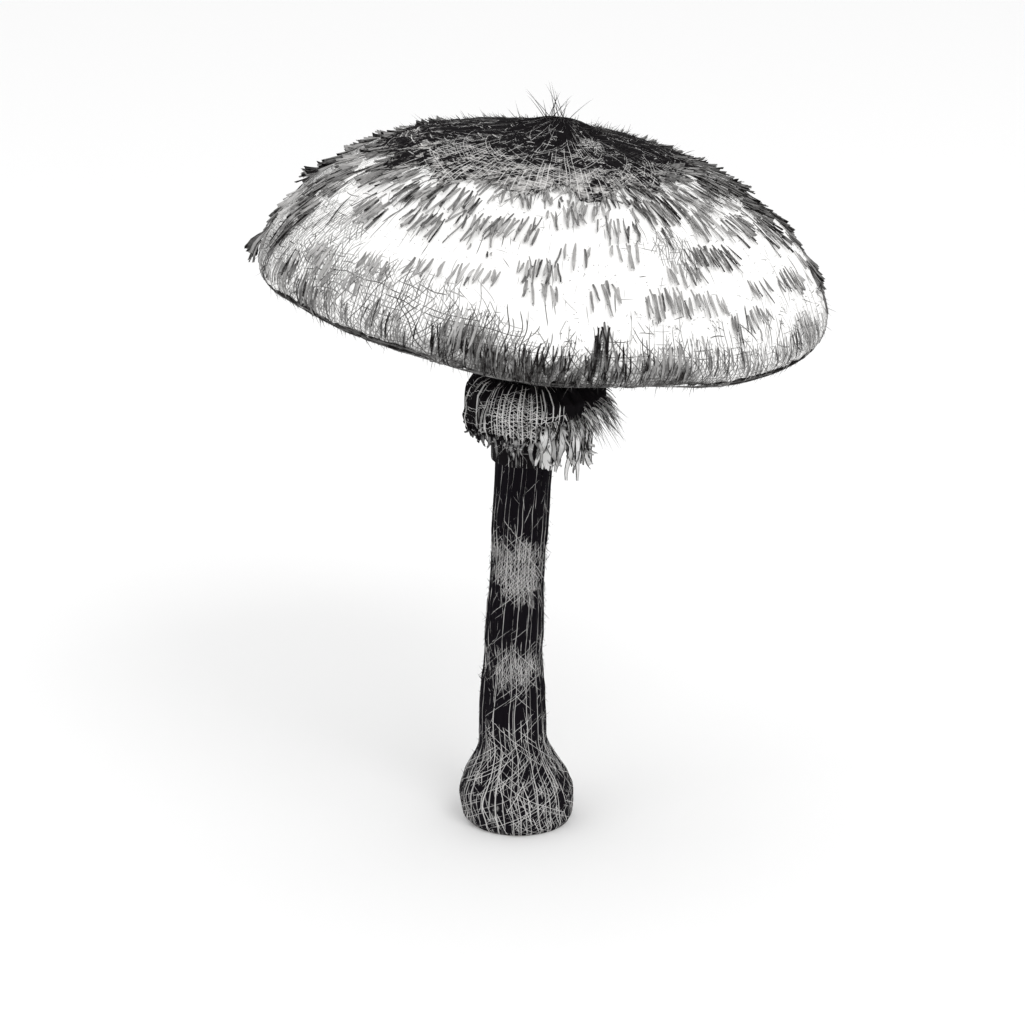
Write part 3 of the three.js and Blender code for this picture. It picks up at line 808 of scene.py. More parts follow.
@dataclass(frozen=True)
class FibreFinish:
    """A dry, fibrous skin, whose ground turns dark with the shade, with strokes of one ink on it."""

    name: str
    pale: Colour
    dark: Colour
    ground: tuple[float, float]  # the shades between which the ground turns dark
    ink: Ink = Ink.PALE  # of the strokes
    paint: Colour = (0.62, 0.61, 0.6)  # and its colour
    strokes: tuple[Strokes, ...] = ()
    vary: float = 0.3  # how far soft patches change the shade
    patches: float = 90.0  # of those, per metre
    wash: float = 0.1  # how far they turn the pale ground grey
    grainy: float = 0.2  # how far single fibres change the shade
    wander: float = 9.0  # spacings that the strokes bend sideways
    roughness: float = 0.92
    relief: float = 0.6

    FINE = 2.2  # fibres in a step across the grain
    BENDS = 55.0  # of the strokes, per metre
    LEVEL_REPEAT = 1000.0  # level strokes before they repeat
    GLOSS = 0.06
    RELIEF_DEPTH = 0.22 * MM

    def build(self, groups: NodeGroups) -> bpy.types.Material:
        """Makes the material, with its colour, roughness and relief worked out from the stored values.

        Args:
            groups: the node groups that the finishes share.

        Returns:
            The material.
        """
        material = bpy.data.materials.new(self.name)
        material.use_nodes = True
        weave = Weave(material.node_tree)
        surface = material.node_tree.nodes["Principled BSDF"]
        patches = weave.group(groups.mottle, weave.place, self.patches)
        fibres = weave.noise(weave.grain, self.FINE, 2.0)
        shift = weave.times(weave.math("SUBTRACT", patches, 0.5), self.vary)
        amounts = {}
        for ink, way in ((Ink.DARK, 1.0), (Ink.PALE, -1.0)):
            amount = weave.attribute(ink.value)
            amounts[ink] = weave.times(weave.spread(amount, 0.0, 0.3), weave.times(shift, way), amount)
        grained = weave.times(weave.math("SUBTRACT", fibres, 0.5), 2 * self.grainy, amounts[Ink.DARK])
        washed = tuple(channel * (1 - self.wash) for channel in self.pale)
        pale = weave.mix(patches, washed, self.pale)
        colour = weave.mix(weave.spread(grained, *self.ground), pale, self.dark)
        height = fibres
        if self.strokes:
            mask = self._mask(weave, groups.strokes, amounts[self.ink])
            colour = weave.mix(mask, colour, self.paint)
            height = weave.times(mask, 0.5 if self.ink is Ink.PALE else -0.5, height)
        rough = weave.spread(fibres, 0.3, 0.7, self.roughness - 0.06, self.roughness)
        surface.inputs["Specular IOR Level"].default_value = self.GLOSS
        bump = weave.node("Bump", self.relief, self.RELIEF_DEPTH)
        weave.join([bump.inputs["Height"]], [height])
        parts = (surface.inputs[label] for label in ("Base Color", "Roughness", "Normal"))
        weave.join(parts, (colour, rough, bump.outputs["Normal"]))
        return material

    def _mask(self, weave: Weave, drawn: Tree, amount: Socket) -> Socket:
        """Where the strokes lie: the greatest of the masks of their sets.

        Args:
            weave: the material's nodes.
            drawn: the group that draws one set.
            amount: how many strokes show.

        Returns:
            The mask.
        """
        x, y, along = weave.node("SeparateXYZ", weave.grain).outputs
        turn = weave.math("DIVIDE", weave.math("ARCTAN2", y, x), TAU)
        bend = weave.math("SUBTRACT", weave.noise(weave.place, self.BENDS, 1.0), 0.5)
        bend = weave.times(bend, self.wander)
        total = None
        for number, each in enumerate(self.strokes):
            over, run = (along, turn) if each.level else (turn, along)
            across = weave.times(along, each.slant, weave.times(over, float(each.count), bend))
            mask = weave.group(
                drawn,
                weave.math("ADD", across, 0.37 * number),
                weave.times(run, each.run, 11.3 * number),
                self.LEVEL_REPEAT if each.level else float(each.count),
                weave.spread(amount, each.start, each.full),
                each.half,
            )
            total = weave.math("MAXIMUM", total, mask) if total else mask
        return total


@dataclass
class Piece:
    """One piece of the mushroom: its name, what it stands for, the name of a slot, which nothing here reads,
    and its finish.
    """

    name: str
    slot: str
    finish: FibreFinish
    stands_for: tuple[str, ...] = ()
    seed: int = 0

    def __post_init__(self) -> None:
        """Starts its mesh, and its own noise and random numbers."""
        self.mesh, self.noise = Surfaces(), ValueNoise(self.seed)
        self.draw = np.random.default_rng(self.seed)

    def shape(self) -> None:
        """Adds the piece's surfaces to its mesh. Each kind of piece has its own."""
        raise NotImplementedError

    def make(self, groups: NodeGroups) -> None:
        """Builds the piece, gives it its finish and sets it in the frame, riding on the body.

        Args:
            groups: the node groups that the finishes share.
        """
        self.shape()
        made = self.mesh.build(self.name)
        made.data.materials.append(self.finish.build(groups))
        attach(made, "root")
        if self.stands_for:
            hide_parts(*self.stands_for)
        triangles = sum(len(face.vertices) - 2 for face in made.data.polygons)
        LOG.info("%s: %d triangles", self.name, triangles)


@dataclass(frozen=True)
class ScalePlan:
    """Where the torn scales stand: along is from the top, down the skin, and degrees are from +X."""

    disc: DiscForm = DiscForm()
    front: tuple[Scale, ...] = (
        (62, -122, 17, 11, 0.75), (61, -88, 11, 9, 0.6), (63, -41, 12, 12, 0.5), (64, -152, 18, 12, 0.8),
        (65, -72, 12, 9, 0.75), (68, -28, 15, 10, 0.75), (68, -100, 13, 9, 0.7), (71, -110, 13, 10, 0.65),
        (74, -72, 9, 9, 0.4), (75, -47, 18, 8, 0.75), (75, -85, 9, 9, 0.55), (75, -124, 12, 10, 0.75),
        (75, -13, 14, 12, 0.95), (76, -140, 11, 10, 0.8), (80, -58, 13, 8, 0.5), (81, -93, 11, 7, 0.7),
        (86, -104, 9, 7, 0.35), (87, -164, 18, 11, 0.85), (87, -36, 10, 8, 0.6), (88, -79, 9, 9, 0.55),
        (88, -117, 10, 8, 0.55), (89, -22, 16, 9, 0.6), (90, -54, 14, 8, 0.4), (90, -65, 13, 9, 0.65),
        (92, -129, 12, 8, 0.5), (95, -40, 11, 7, 0.6), (96, -143, 12, 8, 0.4),
    )
    small: tuple[Scale, ...] = (  # those too thin for the solid
        (87, -109, 6, 8, 0.55), (87, -92, 10, 7, 0.45), (66, -58, 8, 7, 0.6), (102, -79, 4, 13, 1.0),
        (104, -80, 3, 12, 1.0), (98, -48, 5, 8, 0.7), (107, -66, 14, 9, 0.7), (104, -104, 15, 11, 0.7),
        (59, -143, 12, 8, 0.7), (63, -132, 9, 8, 0.7), (58, -60, 11, 9, 0.8), (56, -102, 12, 8, 0.5),
        (57, -80, 12, 7, 0.45), (99, -131, 8, 7, 0.5), (104, -150, 6, 9, 0.8), (59, -19, 8, 6, 0.5),
        (101, -24, 9, 7, 0.5), (71, -168, 12, 8, 0.75), (66, 2, 15, 9, 0.9), (83, 4, 12, 8, 0.8),
        (95, -2, 12, 8, 0.85), (55, -52, 13, 11, 0.85), (52, -34, 17, 10, 0.7), (51, -13, 14, 10, 0.95),
        (57, -36, 10, 8, 0.5), (78, -171, 10, 13, 0.9), (96, -163, 9, 12, 0.8), (74, -163, 12, 9, 0.8),
        (66, -133, 14, 9, 0.8), (99, -140, 9, 9, 0.5), (109, -141, 9, 8, 0.7), (56, -3, 14, 12, 1.0),
        (87, -8, 8, 8, 0.5), (53, -68, 10, 7, 0.7), (54, -90, 10, 5, 0.6), (46, -2, 16, 9, 1.0),
        (48, -60, 9, 7, 0.9),
    )
    flaps: Rows = ((102, 178, 10, 9, 5.0, 1.0), (80, 162, 14, 9, 4.0, 1.0))  # as in sets
    flakes: Rows = ((57, 156), (47, 143), (66, 160), (50, 26), (60, 16))  # along and degrees
    rows: Rows = (
        # share of the way to the margin; count; width; length; lift; turn
        (0.0, 13, 17, 10, 2.2, 0.1), (0.24, 15, 17, 9.5, 2.2, 0.42),
        (0.48, 17, 15.5, 9, 2.0, 0.05), (0.72, 19, 13.5, 8, 1.8, 0.6),
    )
    hem_count: int = 32
    last_row: float = 106.0
    step: float = 0.618  # in shade, from scale to scale
    seed: int = 7

    @cached_property
    def sets(self) -> Pair:
        """Every scale, with the draws of the solid cap, so that those of the back and the hem stand alike.

        Returns:
            The scales, then the hem's: rows of along, degrees, width, length, lift and shade.
        """
        stream = RepeatStream(self.seed)
        found = [*self.flaps, *self._listed(self.front, 1.3)]
        stream.skip(3 * len(found))
        for at, count, wide, long, lift, turn in self.rows:
            for index in range(count):
                degrees = ((index + turn + 0.34 * (stream.draw() - 0.5)) / count) * 360 - 180
                start = float(self.disc.edge(math.radians(degrees))) / MM + 4
                along = start + (self.last_row - start) * at + 3 * (stream.draw() - 0.5)
                size = (wide * (0.72 + 0.56 * stream.draw()), long * (0.8 + 0.4 * stream.draw()))
                if not -172 <= degrees <= -8:
                    edge = abs(degrees - 8) < 24 or abs(degrees - 170) < 16
                    dark = min(0.5 + 0.45 * (index * self.step % 1) + 0.3 * edge, 1.0)
                    dark = dark * (1 - 0.5 * (degrees < -166))
                    found.append((along, degrees, *size, lift * 0.85, dark))
                    stream.skip(3)
        hem = []
        for index in range(self.hem_count):
            degrees = ((index + 0.4 * stream.draw()) / self.hem_count) * 360
            along, wide = 102 + stream.draw(), 10 * (0.8 + 0.5 * stream.draw())
            stream.skip(3)
            # painted shadow: the hem's scales in front of the stem, near 268 degrees, are made dark
            dark = 0.45 + 0.35 * (index * self.step % 1) + 0.8 * (abs(degrees - 268) < 27)
            hem.append((along, degrees, wide * 1.3, 9.5, 0.4, dark))
        found += self._listed(self.small, 0.8)
        found += [(along, degrees, 10, 7, 2.4, 1.0) for along, degrees in self.flakes]
        return np.array(found), np.array(hem)

    @staticmethod
    def _listed(scales: tuple[Scale, ...], lift: float) -> list[tuple[float, ...]]:
        """Listed scales as rows, which start half their length above their middle."""
        return [(middle - long / 2, at, wide, long, lift, dark) for middle, at, wide, long, dark in scales]


@dataclass
class CapPiece(Piece):
    """A piece of the cap, which follows its form, the edge of its disc and the plan of its scales."""

    form: CapForm = CapForm()
    disc: DiscForm = DiscForm()
    plan: ScalePlan = ScalePlan()


@dataclass
class CapSkin(CapPiece):
    """The cap's pale flesh: outside, margin and the hollow for the gills, as one closed skin."""

    columns: int = 560
    hidden_rows: int = 8
    shown_rows: int = 100
    under_rows: int = 24
    hidden: float = 36 * MM  # down to here the disc covers it
    # soft areas of tone; the wide one at -166 degrees is painted shade on the side of the flaps, away from
    # the key light
    areas: tuple[Area, ...] = (
        (0.3, -66, 8, 109, 7), (0.35, -104, 8, 104, 7), (0.1, -140, 10, 103, 12), (0.28, -118, 19, 94, 9),
        (0.42, -166, 30, 90, 24), (0.16, -144, 18, 82, 10), (0.35, -180, 24, 50, 16), (0.5, -59, 9, 70, 8),
        (0.22, -172, 9, 103, 9), (0.3, -180, 7, 83, 8), (-0.12, -147, 10, 106, 6), (0.4, -26, 26, 50, 9),
        (0.4, 12, 18, 56, 20), (0.7, 170, 12, 72, 18),
    )
    smudge: float = 0.14  # how dark the skin is under a scale
    seed: int = 11

    def shade(self, far: Array, angle: Array) -> Array:
        """How dark the outside is at a distance down it, in mm, and an angle: a sum of soft areas.

        The middle is pale. Grey are a band along the margin, the skin just below the disc, and smudges under
        the scales. The grey on the side of the flaps, away from the key light, is painted shade, and the dark
        margin in front of the stem is a painted shadow under the cap.

        Args:
            far: a column of distances.
            angle: a row of angles.

        Returns:
            Values from 0 to 1.
        """
        past = far - self.disc.edge(angle) / MM
        total = 0.5 * ease(far, 86, 108) * (1 - 0.45 * side(angle, -166, 30))
        # painted shadow: the term at -90 degrees darkens the margin in front of the stem, under the cap
        total = total + 1.0 * side(angle, -90, 25) * ease(far, 102, 113) + soft_areas(angle, far, self.areas)
        total = total + 0.3 * (1 - ease(past, -1, 5)) + 0.1 * side(angle, 90, 50)
        start, degrees, wide, long, _, dark = self.plan.sets[0].T
        wide = np.degrees(0.5 * wide * MM / self.form.outline(self.form.share_at(start * MM))[0])
        smudges = np.stack([self.smudge * dark, degrees, wide, start + long / 2, long / 2], axis=-1)
        return total + 0.3 * hill(far, 113.6, 1.1) + soft_areas(angle, far, smudges.tolist())

    def shape(self) -> None:
        """A polar grid from the top over the margin and back under it.

        The outside is raised by slow swells, by fibres that run down the skin, and by grooves near the
        margin. The rim is ragged: its last rows are moved up and down by noise, and by a few notches.
        """
        around, form, angle = self.noise.around, self.form, full_turn(self.columns)
        length = form.table[1][-1]
        covered = np.linspace(1.5 * MM, self.hidden, self.hidden_rows, endpoint=False)
        outside = np.concatenate([covered, np.linspace(self.hidden, length, self.shown_rows)])[:, None]
        share_out = form.share_at(outside)
        share_in = form.share_at(np.linspace(length, 0.03 * length, self.under_rows))[:, None]
        far, far_in = outside / MM, form.along_at(share_in) / MM
        edge = ease(far, 96, 112)
        lift = (0.12 + 0.08 * edge) * around(angle, 40, far / 9) + 0.3 * around(angle, 6, far / 14)
        lift = lift + 0.22 * edge * around(angle, 70, far / 16)
        notch = ease(around(angle, 11, 5.2, octaves=2), 0.62, 0.95)
        ragged = 0.55 * around(angle, 8, 3.3) + 0.25 * around(angle, 60, 1.3) + 1.1 * notch
        outer = form.place(share_out, angle, lift * MM)
        inner = form.hollow.place(share_in, angle, -form.flesh(share_in))
        outer[..., 2] += ragged * ease(far, 108, 116) * MM
        inner[..., 2] += ragged * ease(far_in, 108, 116) * MM
        under = form.hollow.place(0.0, 0.0, -form.flesh(0.0))
        points = capped(form.place(0.0, 0.0), outer, inner, last=under)
        shade_in = 0.35 - 0.1 * ease(115 - far_in, 0, 12) + 0 * angle
        shade = capped(0.9, self.shade(far, angle), shade_in, last=0.2)
        end = form.grain(0.0, 0.0)
        grain = capped(end, form.grain(share_out, angle), form.grain(share_in, angle), last=end)
        rows = self.hidden_rows + self.shown_rows + self.under_rows
        self.mesh.add(points, skin_faces(rows, self.columns), grain, shade)


@dataclass(frozen=True)
class Strips:
    """Narrow torn strips that lie on the cap, each a thin slab with a ridge down its middle.

    Down runs from 0 to 1 and across from -1 to 1. A strip's half width is its width times an arc of down,
    it leans sideways and wavers, and it lifts off the skin with down to the power of 1.5.
    """

    mesh: Surfaces
    seed: int
    form: CapForm
    along: Array
    angle: Array
    width: Array
    length: Array
    lift: Array
    lean: Array
    shade: Array
    rows: int = 5
    columns: int = 3
    thick: float = 0.35 * MM
    root: float = 0.3 * MM  # how deep it starts
    clear: float = 0.14 * MM  # and how far it lies off the skin

    def place(self) -> None:
        """Adds the strips to the mesh, with their wavers drawn from the seed."""
        noise = ValueNoise(self.seed).at
        down, across = line_up(self.rows, self.columns)
        each = slabs(np.arange(len(self.along)))
        wide, long, rise, lean = (slabs(value) for value in (self.width, self.length, self.lift, self.lean))
        arc = 0.3 + 0.7 * np.sin(math.pi * (0.14 + 0.74 * down))
        half = 0.5 * wide * arc * (1 + 0.3 * noise(down * 4, each * 1.3))
        sideways = across * half + lean * down * long + 0.3 * MM * noise(down * 2.5, each * 1.7)
        fall = long * down + 0.3 * wide * noise(across * 2, each * 2.3) * (2 * down - 1)
        curl = 0.75 + 0.5 * noise(each * 1.9, across)
        ridge = 1 - across**2
        upper = rise * down**1.5 * curl + self.clear + 0.16 * wide * ridge
        lower = np.where(down < 0.1, -self.root, upper - self.thick * (1 - 0.6 * down) * (0.5 + 0.5 * ridge))
        share = self.form.share_at(slabs(self.along) + fall)
        radius = np.maximum(self.form.outline(share)[0], 4 * MM)
        angle = slabs(self.angle) + sideways / radius
        shade = slabs(self.shade) * (0.88 + 0.12 * ridge) + 0.1 * noise(down * 2, each * 3.1)
        grain = stack(across * wide / (1.1 * MM) + 5.3 * each, 2.1 * each, fall / (8 * MM))
        self.mesh.add_slabs(*(self.form.place(share, angle, lift) for lift in (upper, lower)), grain, shade)


@dataclass(frozen=True)
class Threads:
    """Long loose fibres that lie on the cap, each a thin ridge along a path of its own."""

    mesh: Surfaces
    seed: int
    form: CapForm
    along: Array  # down the skin: a row for each fibre
    angle: Array
    half: Array  # half the width of each
    shade: Array

    def place(self) -> None:
        """Adds the fibres to the mesh. They taper to both ends, by a sine to the power of 0.6."""
        noise = ValueNoise(self.seed).at
        part = np.linspace(0, 1, self.along.shape[1])[None]
        each = np.arange(len(self.along))[:, None]
        share = self.form.share_at(self.along + 0.8 * MM * noise(part * 4, each * 2.7))
        lift = (0.12 + 0.2 * np.abs(noise(part * 3, each * 1.3))) * MM
        middle = self.form.place(share, self.angle, lift)
        out = self.form.outwards(share, self.angle, lift)
        sideways = unit(np.cross(out, np.gradient(middle, axis=1)))[:, :, None]
        half = (self.half[:, None] * (0.15 + 0.85 * np.sin(math.pi * part) ** 0.6))[:, :, None, None]
        across = np.array([-1.0, 0.0, 1.0])[:, None]
        out = out[:, :, None] * half
        flat = middle[:, :, None] + sideways * half * across
        each = slabs(each[:, 0])
        grain = stack(across[None, None, :, 0] + 3.1 * each, 1.7 * each, part[..., None] * 3)
        self.mesh.add_slabs(flat + out * 0.8 * (1 - across**2), flat - out * 0.9, grain, slabs(self.shade))


@dataclass
class LooseThreads(CapPiece):
    """Fibres torn from the scales: round the margin, down the skin and on the shoulders, and dark ones above
    the ring, which paint the shadow on the margin in front of the stem.
    """

    round_margin: int = 110
    bold: int = 90  # wide ones, on both sides of the front
    down_skin: int = 40
    shadow_fibres_above_ring: int = 150
    on_shoulder: int = 22
    shoulders: tuple[Rows, ...] = (
        # each a path of far and degrees
        ((44, 34), (48, 29), (54, 22), (60, 17), (66, 13), (72, 10), (84, 5), (96, 1), (104, -3), (112, -9)),
        ((40, 130), (48, 146), (54, 153), (60, 158), (72, 164), (84, 169), (96, 174), (104, 178), (110, 188)),
        ((98, 1), (104, -3), (112, -9), (115, -20)), ((98, 174), (104, 178), (110, 186), (114, 198)),
    )
    points: int = 13
    seed: int = 26

    def shape(self) -> None:
        """Fibres round the margin, the bold ones, and those down the skin, above the ring and on paths."""
        draw, part = self.draw, np.linspace(0, 1, self.points)[None]
        size = (self.round_margin, 1)
        angle = draw.uniform(-math.pi, math.pi, size) + draw.uniform(0.12, 0.34, size) * part
        self._add(draw.uniform(113.2, 116.6, size) + draw.normal(0, 0.7, size) * (part - 0.5), angle, 1.0)
        size = (self.bold // 2, 2)
        start = draw.uniform(-196, -112, size), draw.uniform(-58, 4, size)
        start = np.where([False, True], *start).reshape(-1, 1)
        size = start.shape
        angle = np.radians(start) + draw.uniform(0.1, 0.3, size) * part
        self._add(draw.uniform(112.2, 114.6, size) + draw.normal(0, 0.6, size) * (part - 0.5), angle, 1.5)
        size = (self.down_skin, 1)
        start = blend(-45, 230, draw.uniform(0, 1, size))
        angle = np.radians(start) + draw.normal(0, 0.03, size) * part
        far = np.minimum(draw.uniform(56, 98, size) + draw.uniform(6, 15, size) * part, 114)
        self._add(far, angle, 1.0)
        # painted shadow: dark fibres crowd the margin in front of the stem, above the ring
        size = (self.shadow_fibres_above_ring, 1)
        angle = np.radians(draw.normal(-90, 11, size)) + draw.normal(0, 0.015, size) * part
        far = np.minimum(draw.uniform(102.5, 111.5, size) + draw.uniform(4, 12, size) * part, 115.4)
        self._add(far, angle, 1.3)
        for path in self.shoulders:
            far, degrees = np.array(path).T
            place = np.linspace(0, 1, self.on_shoulder)[:, None] * 0.8 + draw.uniform(0.14, 0.24) * part
            along = blend(far[0], far[-1], place)
            angle = np.interp(along, far, degrees) + draw.normal(0, 2.0, (self.on_shoulder, 1))
            self._add(along, np.radians(angle), 1.0)

    def _add(self, far: Array, angle: Array, wide: float) -> None:
        """Adds fibres along paths, with drawn widths and shades.

        Args:
            far: a row for each fibre.
            angle: the same.
            wide: their width, as a scale, whose square root scales their shade.
        """
        count = len(far)
        half = wide * self.draw.uniform(0.12, 0.26, count) * MM
        shade = wide**0.5 * self.draw.uniform(0.7, 1.0, count)
        Threads(self.mesh, self.seed + count, self.form, far * MM, angle, half, shade).place()


@dataclass
class TornScales(CapPiece):
    """The ragged dark scales, each a bundle of narrow strips, with small crumbs of skin between them."""

    crumbs: int = 45
    edge_strips: int = 460
    pitch: float = 1.35  # from strip to strip, mm
    seed: int = 21

    def shape(self) -> None:
        """The listed scales, crumbs between the disc and the margin, and strips round the disc's edge."""
        scales, hem = self.plan.sets
        self._bundle(scales, self.pitch, 1.0)
        second = scales[scales[:, 5] > 0.62] * [1, 1, 1.12, 1.2, 0.7, 1.0] - [1.0, 0, 0, 0, 0, 0]
        self._bundle(second, 1.5 * self.pitch, 0.6)
        self._bundle(hem, 1.1, 0.5)
        draw, count = self.draw, self.crumbs
        degrees = draw.uniform(-180, 180, count)
        start = self.disc.edge(np.radians(degrees)) / MM + 1
        far = start + (108 - start) * draw.uniform(0, 1, count) ** 1.6
        size = draw.uniform(2, 5, (2, count))
        lift, shade = draw.uniform(0.2, 0.7, count), draw.uniform(0.3, 0.85, count)
        self._bundle(stack(far, degrees, *size, lift, shade), self.pitch, 0.7)
        self._fray()

    def _bundle(self, scales: Array, pitch: float, wide: float) -> None:
        """Adds scales as bundles of strips.

        A strip starts higher at the middle of its scale than at its sides and is longer there. Neighbours
        lean opposite ways, so that their ends meet in turn.

        Args:
            scales: rows of far, degrees, width, length, lift and shade, in mm.
            pitch: the distance from strip to strip, in mm.
            wide: the strips' width, as a scale.
        """
        draw = self.draw
        each = np.repeat(np.arange(len(scales)), np.maximum(np.round(scales[:, 2] / pitch), 2).astype(int))
        count = len(each)
        total = np.bincount(each)[each]
        far, degrees, width, length, lift, dark = scales[each].T
        order = np.arange(count) - np.searchsorted(each, each)
        spot = (order + 0.5 + draw.normal(0, 0.22, count)) / total * 2 - 1
        far = far + length * (0.2 * spot**2 - 0.08 + draw.normal(0, 0.1, count))
        long = length * (0.98 - 0.3 * spot**2) * draw.uniform(0.6, 1.15, count)
        lean = draw.normal(0, 0.14, len(scales))[each] + draw.normal(0, 0.04, count)
        lean = lean + 0.1 * np.where(order % 2, 1, -1)
        radius = np.maximum(self.form.outline(self.form.share_at(far * MM))[0] / MM, 4)
        angle = np.radians(degrees) + spot * width / 2 / radius
        size = wide * draw.uniform(0.6, 1.0, count)
        shade = 0.25 + 0.75 * dark * draw.uniform(0.35, 1.45, count)
        kept = draw.uniform(0, 1, count) > 0.3 - 0.3 * dark
        values = (far * MM, angle, size * MM, long * MM, lift * MM, lean, shade)
        Strips(self.mesh, self.seed, self.form, *(value[kept] for value in values)).place()

    def _fray(self) -> None:
        """Adds the strips that fray the disc's edge, darkest where the disc is."""
        draw, count = self.draw, self.edge_strips
        angle = draw.uniform(-math.pi, math.pi, count)
        along = self.disc.edge(angle) - draw.uniform(0, 7, count) * MM
        dark = 0.6 + 0.3 * side(angle, -55, 22) + 0.2 * side(angle, 180, 50) + 0.25 * side(angle, 60, 70)
        width, length = draw.uniform(0.4, 1.0, count) * MM, draw.uniform(3.5, 8.5, count) * MM
        lift, lean = (0.2 + 2.2 * draw.uniform(0, 1, count) ** 3) * MM, draw.normal(0, 0.25, count)
        values = (along, angle, width, length, lift, lean, dark * draw.uniform(0.6, 1.1, count))
        kept = draw.uniform(0, 1, count) > side(angle, -137, 17) + 0.8 * side(angle, -80, 7)
        Strips(self.mesh, self.seed + 1, self.form, *(value[kept] for value in values)).place()


@dataclass
class Disc(CapPiece):
    """The dark felted skin over the middle of the cap, with a lobed and frayed edge."""

    columns: int = 440
    rows: int = 78
    under_rows: int = 4
    proud: float = 0.9 * MM
    sunk: float = 0.6 * MM
    least: float = 0.12 * MM
    cells: float = 34.0
    threads: tuple[Area, ...] = (
        (0.15, 178, 14, 45, 5), (0.25, -146, 13, 38, 8), (0.3, -26, 15, 39, 6), (0.45, -54, 11, 16, 5),
        (0.12, -70, 9, 26, 7),
    )
    seed: int = 31

    def shape(self) -> None:
        """A polar grid out to the frayed edge and a little way back under it.

        Its height is a thin lens, plus ridges of stretched noise that run outwards, soft lumps, and cracks
        where another noise crosses zero, which only open towards the edge. It is closed and dark at the
        top, and fades a little at the edge in front, where more pale thread shows.
        """
        noise, form, angle = self.noise, self.form, full_turn(self.columns)
        fray = 1.5 * noise.around(angle, 13) + 1.1 * noise.around(angle, 47, 4.0)
        edge = self.disc.edge(angle) + fray * MM
        part = np.linspace(0.02, 1, self.rows)[:, None] ** 0.9
        far = part * edge / MM
        x, y = far * np.cos(angle), far * np.sin(angle)
        ridge = noise.around(angle, 30, far / 7)
        lump = noise.folds(x / 6, y / 6, 2.0)
        crack = np.abs(noise.folds(x / 5 + 4, y / 5, 9.0, octaves=2))
        depth = ease(part, 0.45, 0.9) * (1 - ease(crack, 0.03, 0.2))
        settle = np.minimum(far / 8, 1)
        lift = self.proud * (1 - 0.55 * part**6) + (0.2 * ridge * settle + 0.18 * lump - 0.4 * depth) * MM
        upper_share = form.share_at(part * edge)
        lower_share = form.share_at(np.linspace(1, 0.35, self.under_rows)[:, None] * edge)
        upper = form.place(upper_share, angle, np.maximum(lift, self.least))
        lower = form.place(lower_share, angle, -self.sunk)
        base = form.place(0.0, 0.0, -self.sunk)
        points = capped(form.place(0.0, 0.0, self.proud), upper, lower, last=base)
        under = np.full(lower_share.shape, 0.8)
        dark = 1.0 - ease(far, 24, 50) * (0.08 + 0.26 * side(angle, -98, 42)) - 0.25 * depth
        bare = (0.08 + 0.14 * ease(far, 8, 18)) * (0.3 + 0.7 * side(angle, -92, 80))
        bare = bare + (0.04 + 0.24 * side(angle, -98, 40)) * ease(far, 22, 42)
        bare = bare + soft_areas(angle, far, self.threads)
        values = capped(1.0, dark, under, last=0.8), capped(0.2, bare, 0 * under, last=0.0)
        end = form.grain(0.0, 0.0, self.cells)
        rings = (form.grain(share, angle, self.cells) for share in (upper_share, lower_share))
        faces = skin_faces(self.rows + self.under_rows, self.columns)
        self.mesh.add(points, faces, capped(end, *rings, last=end), *values)


@dataclass
class Gills(CapPiece):
    """Thin waved blades of three lengths, under one thin layer, free of the stem."""

    blades: int = 240
    along_points: int = 15
    depth_points: int = 4
    layer_points: int = 16
    inner: float = 15.5 * MM
    outer_share: float = 0.9
    depth: float = 12.5 * MM
    layer: float = 1.0 * MM
    thick: float = 0.55 * MM
    seed: int = 41

    def roof(self, share: Array, extra: float) -> Pair:
        """Radius and height of the underside of the flesh, and extra below it."""
        return self.form.hollow.raised(share, -self.form.flesh(share) - extra)

    def shape(self) -> None:
        """The layer, a closed band round the cap's axis, then every blade as a thin slab that hangs from it.

        A blade's edge hangs by its depth times sine(pi * part^0.85)^0.6. It sways sideways by noise of its
        place, more towards its edge, and thins to its edge.
        """
        noise, set_down = self.noise.at, self.form.set_down
        shares = np.linspace(0, 1, 400) * self.form.widest
        start = float(np.interp(self.inner, self.roof(shares, 0.0)[0], shares))
        share = np.linspace(start, self.outer_share, self.layer_points)
        sides = self.roof(share, -0.25 * MM), self.roof(share[::-1], self.layer)
        radius, height = (np.concatenate(parts)[:, None] for parts in zip(*sides))
        angle = full_turn(self.blades)
        faces = band_faces(len(radius), self.blades)
        grain = polar(60, angle, radius / GRAIN_STEP)
        self.mesh.add(set_down(polar(radius, angle, height)), faces, grain, 0.45)
        index = np.arange(self.blades)
        kind = np.array([0, 2, 1, 2])[index % 4]
        begin = np.array([0.0, 0.34, 0.62])[kind] + self.draw.uniform(-0.03, 0.03, self.blades) * (kind > 0)
        deep = self.depth * np.array([1.0, 0.72, 0.5])[kind]
        own = np.linspace(0, 1, self.along_points)[None, :, None]
        down = np.linspace(0, 1, self.depth_points)[None, None]
        each = slabs(index)
        part = blend(slabs(begin), 1.0, own)
        hang = slabs(deep) * np.maximum(np.sin(math.pi * own**0.85), 0) ** 0.6
        hang = hang + 0.5 * MM + 0.35 * MM * noise(each * 0.9, own * 9)
        radius, height = self.roof(blend(start, self.outer_share, part), 0.4 * MM)
        radius, height = radius - 0.1 * hang * down, height - hang * down
        sway = noise(each * 0.53, own * 6) * (0.25 + down) * 0.8 * MM
        centre = TAU * each / self.blades + sway / radius
        half = 0.5 * self.thick * (1.25 - 0.75 * down) * (0.35 + 0.65 * ease(own, 0, 0.12)) / radius
        sides = (set_down(polar(radius, turn, height)) for turn in (centre + half, centre - half))
        # painted shade: the long blades are darker at their inner ends, deep under the cap by the stem
        shade = 0.12 + 0.22 * down**3 + 0.25 * (1 - ease(part, 0, 0.25))
        self.mesh.add_slabs(*sides, stack(down * hang / (1.6 * MM), 3.1 * each, part * 8), shade)


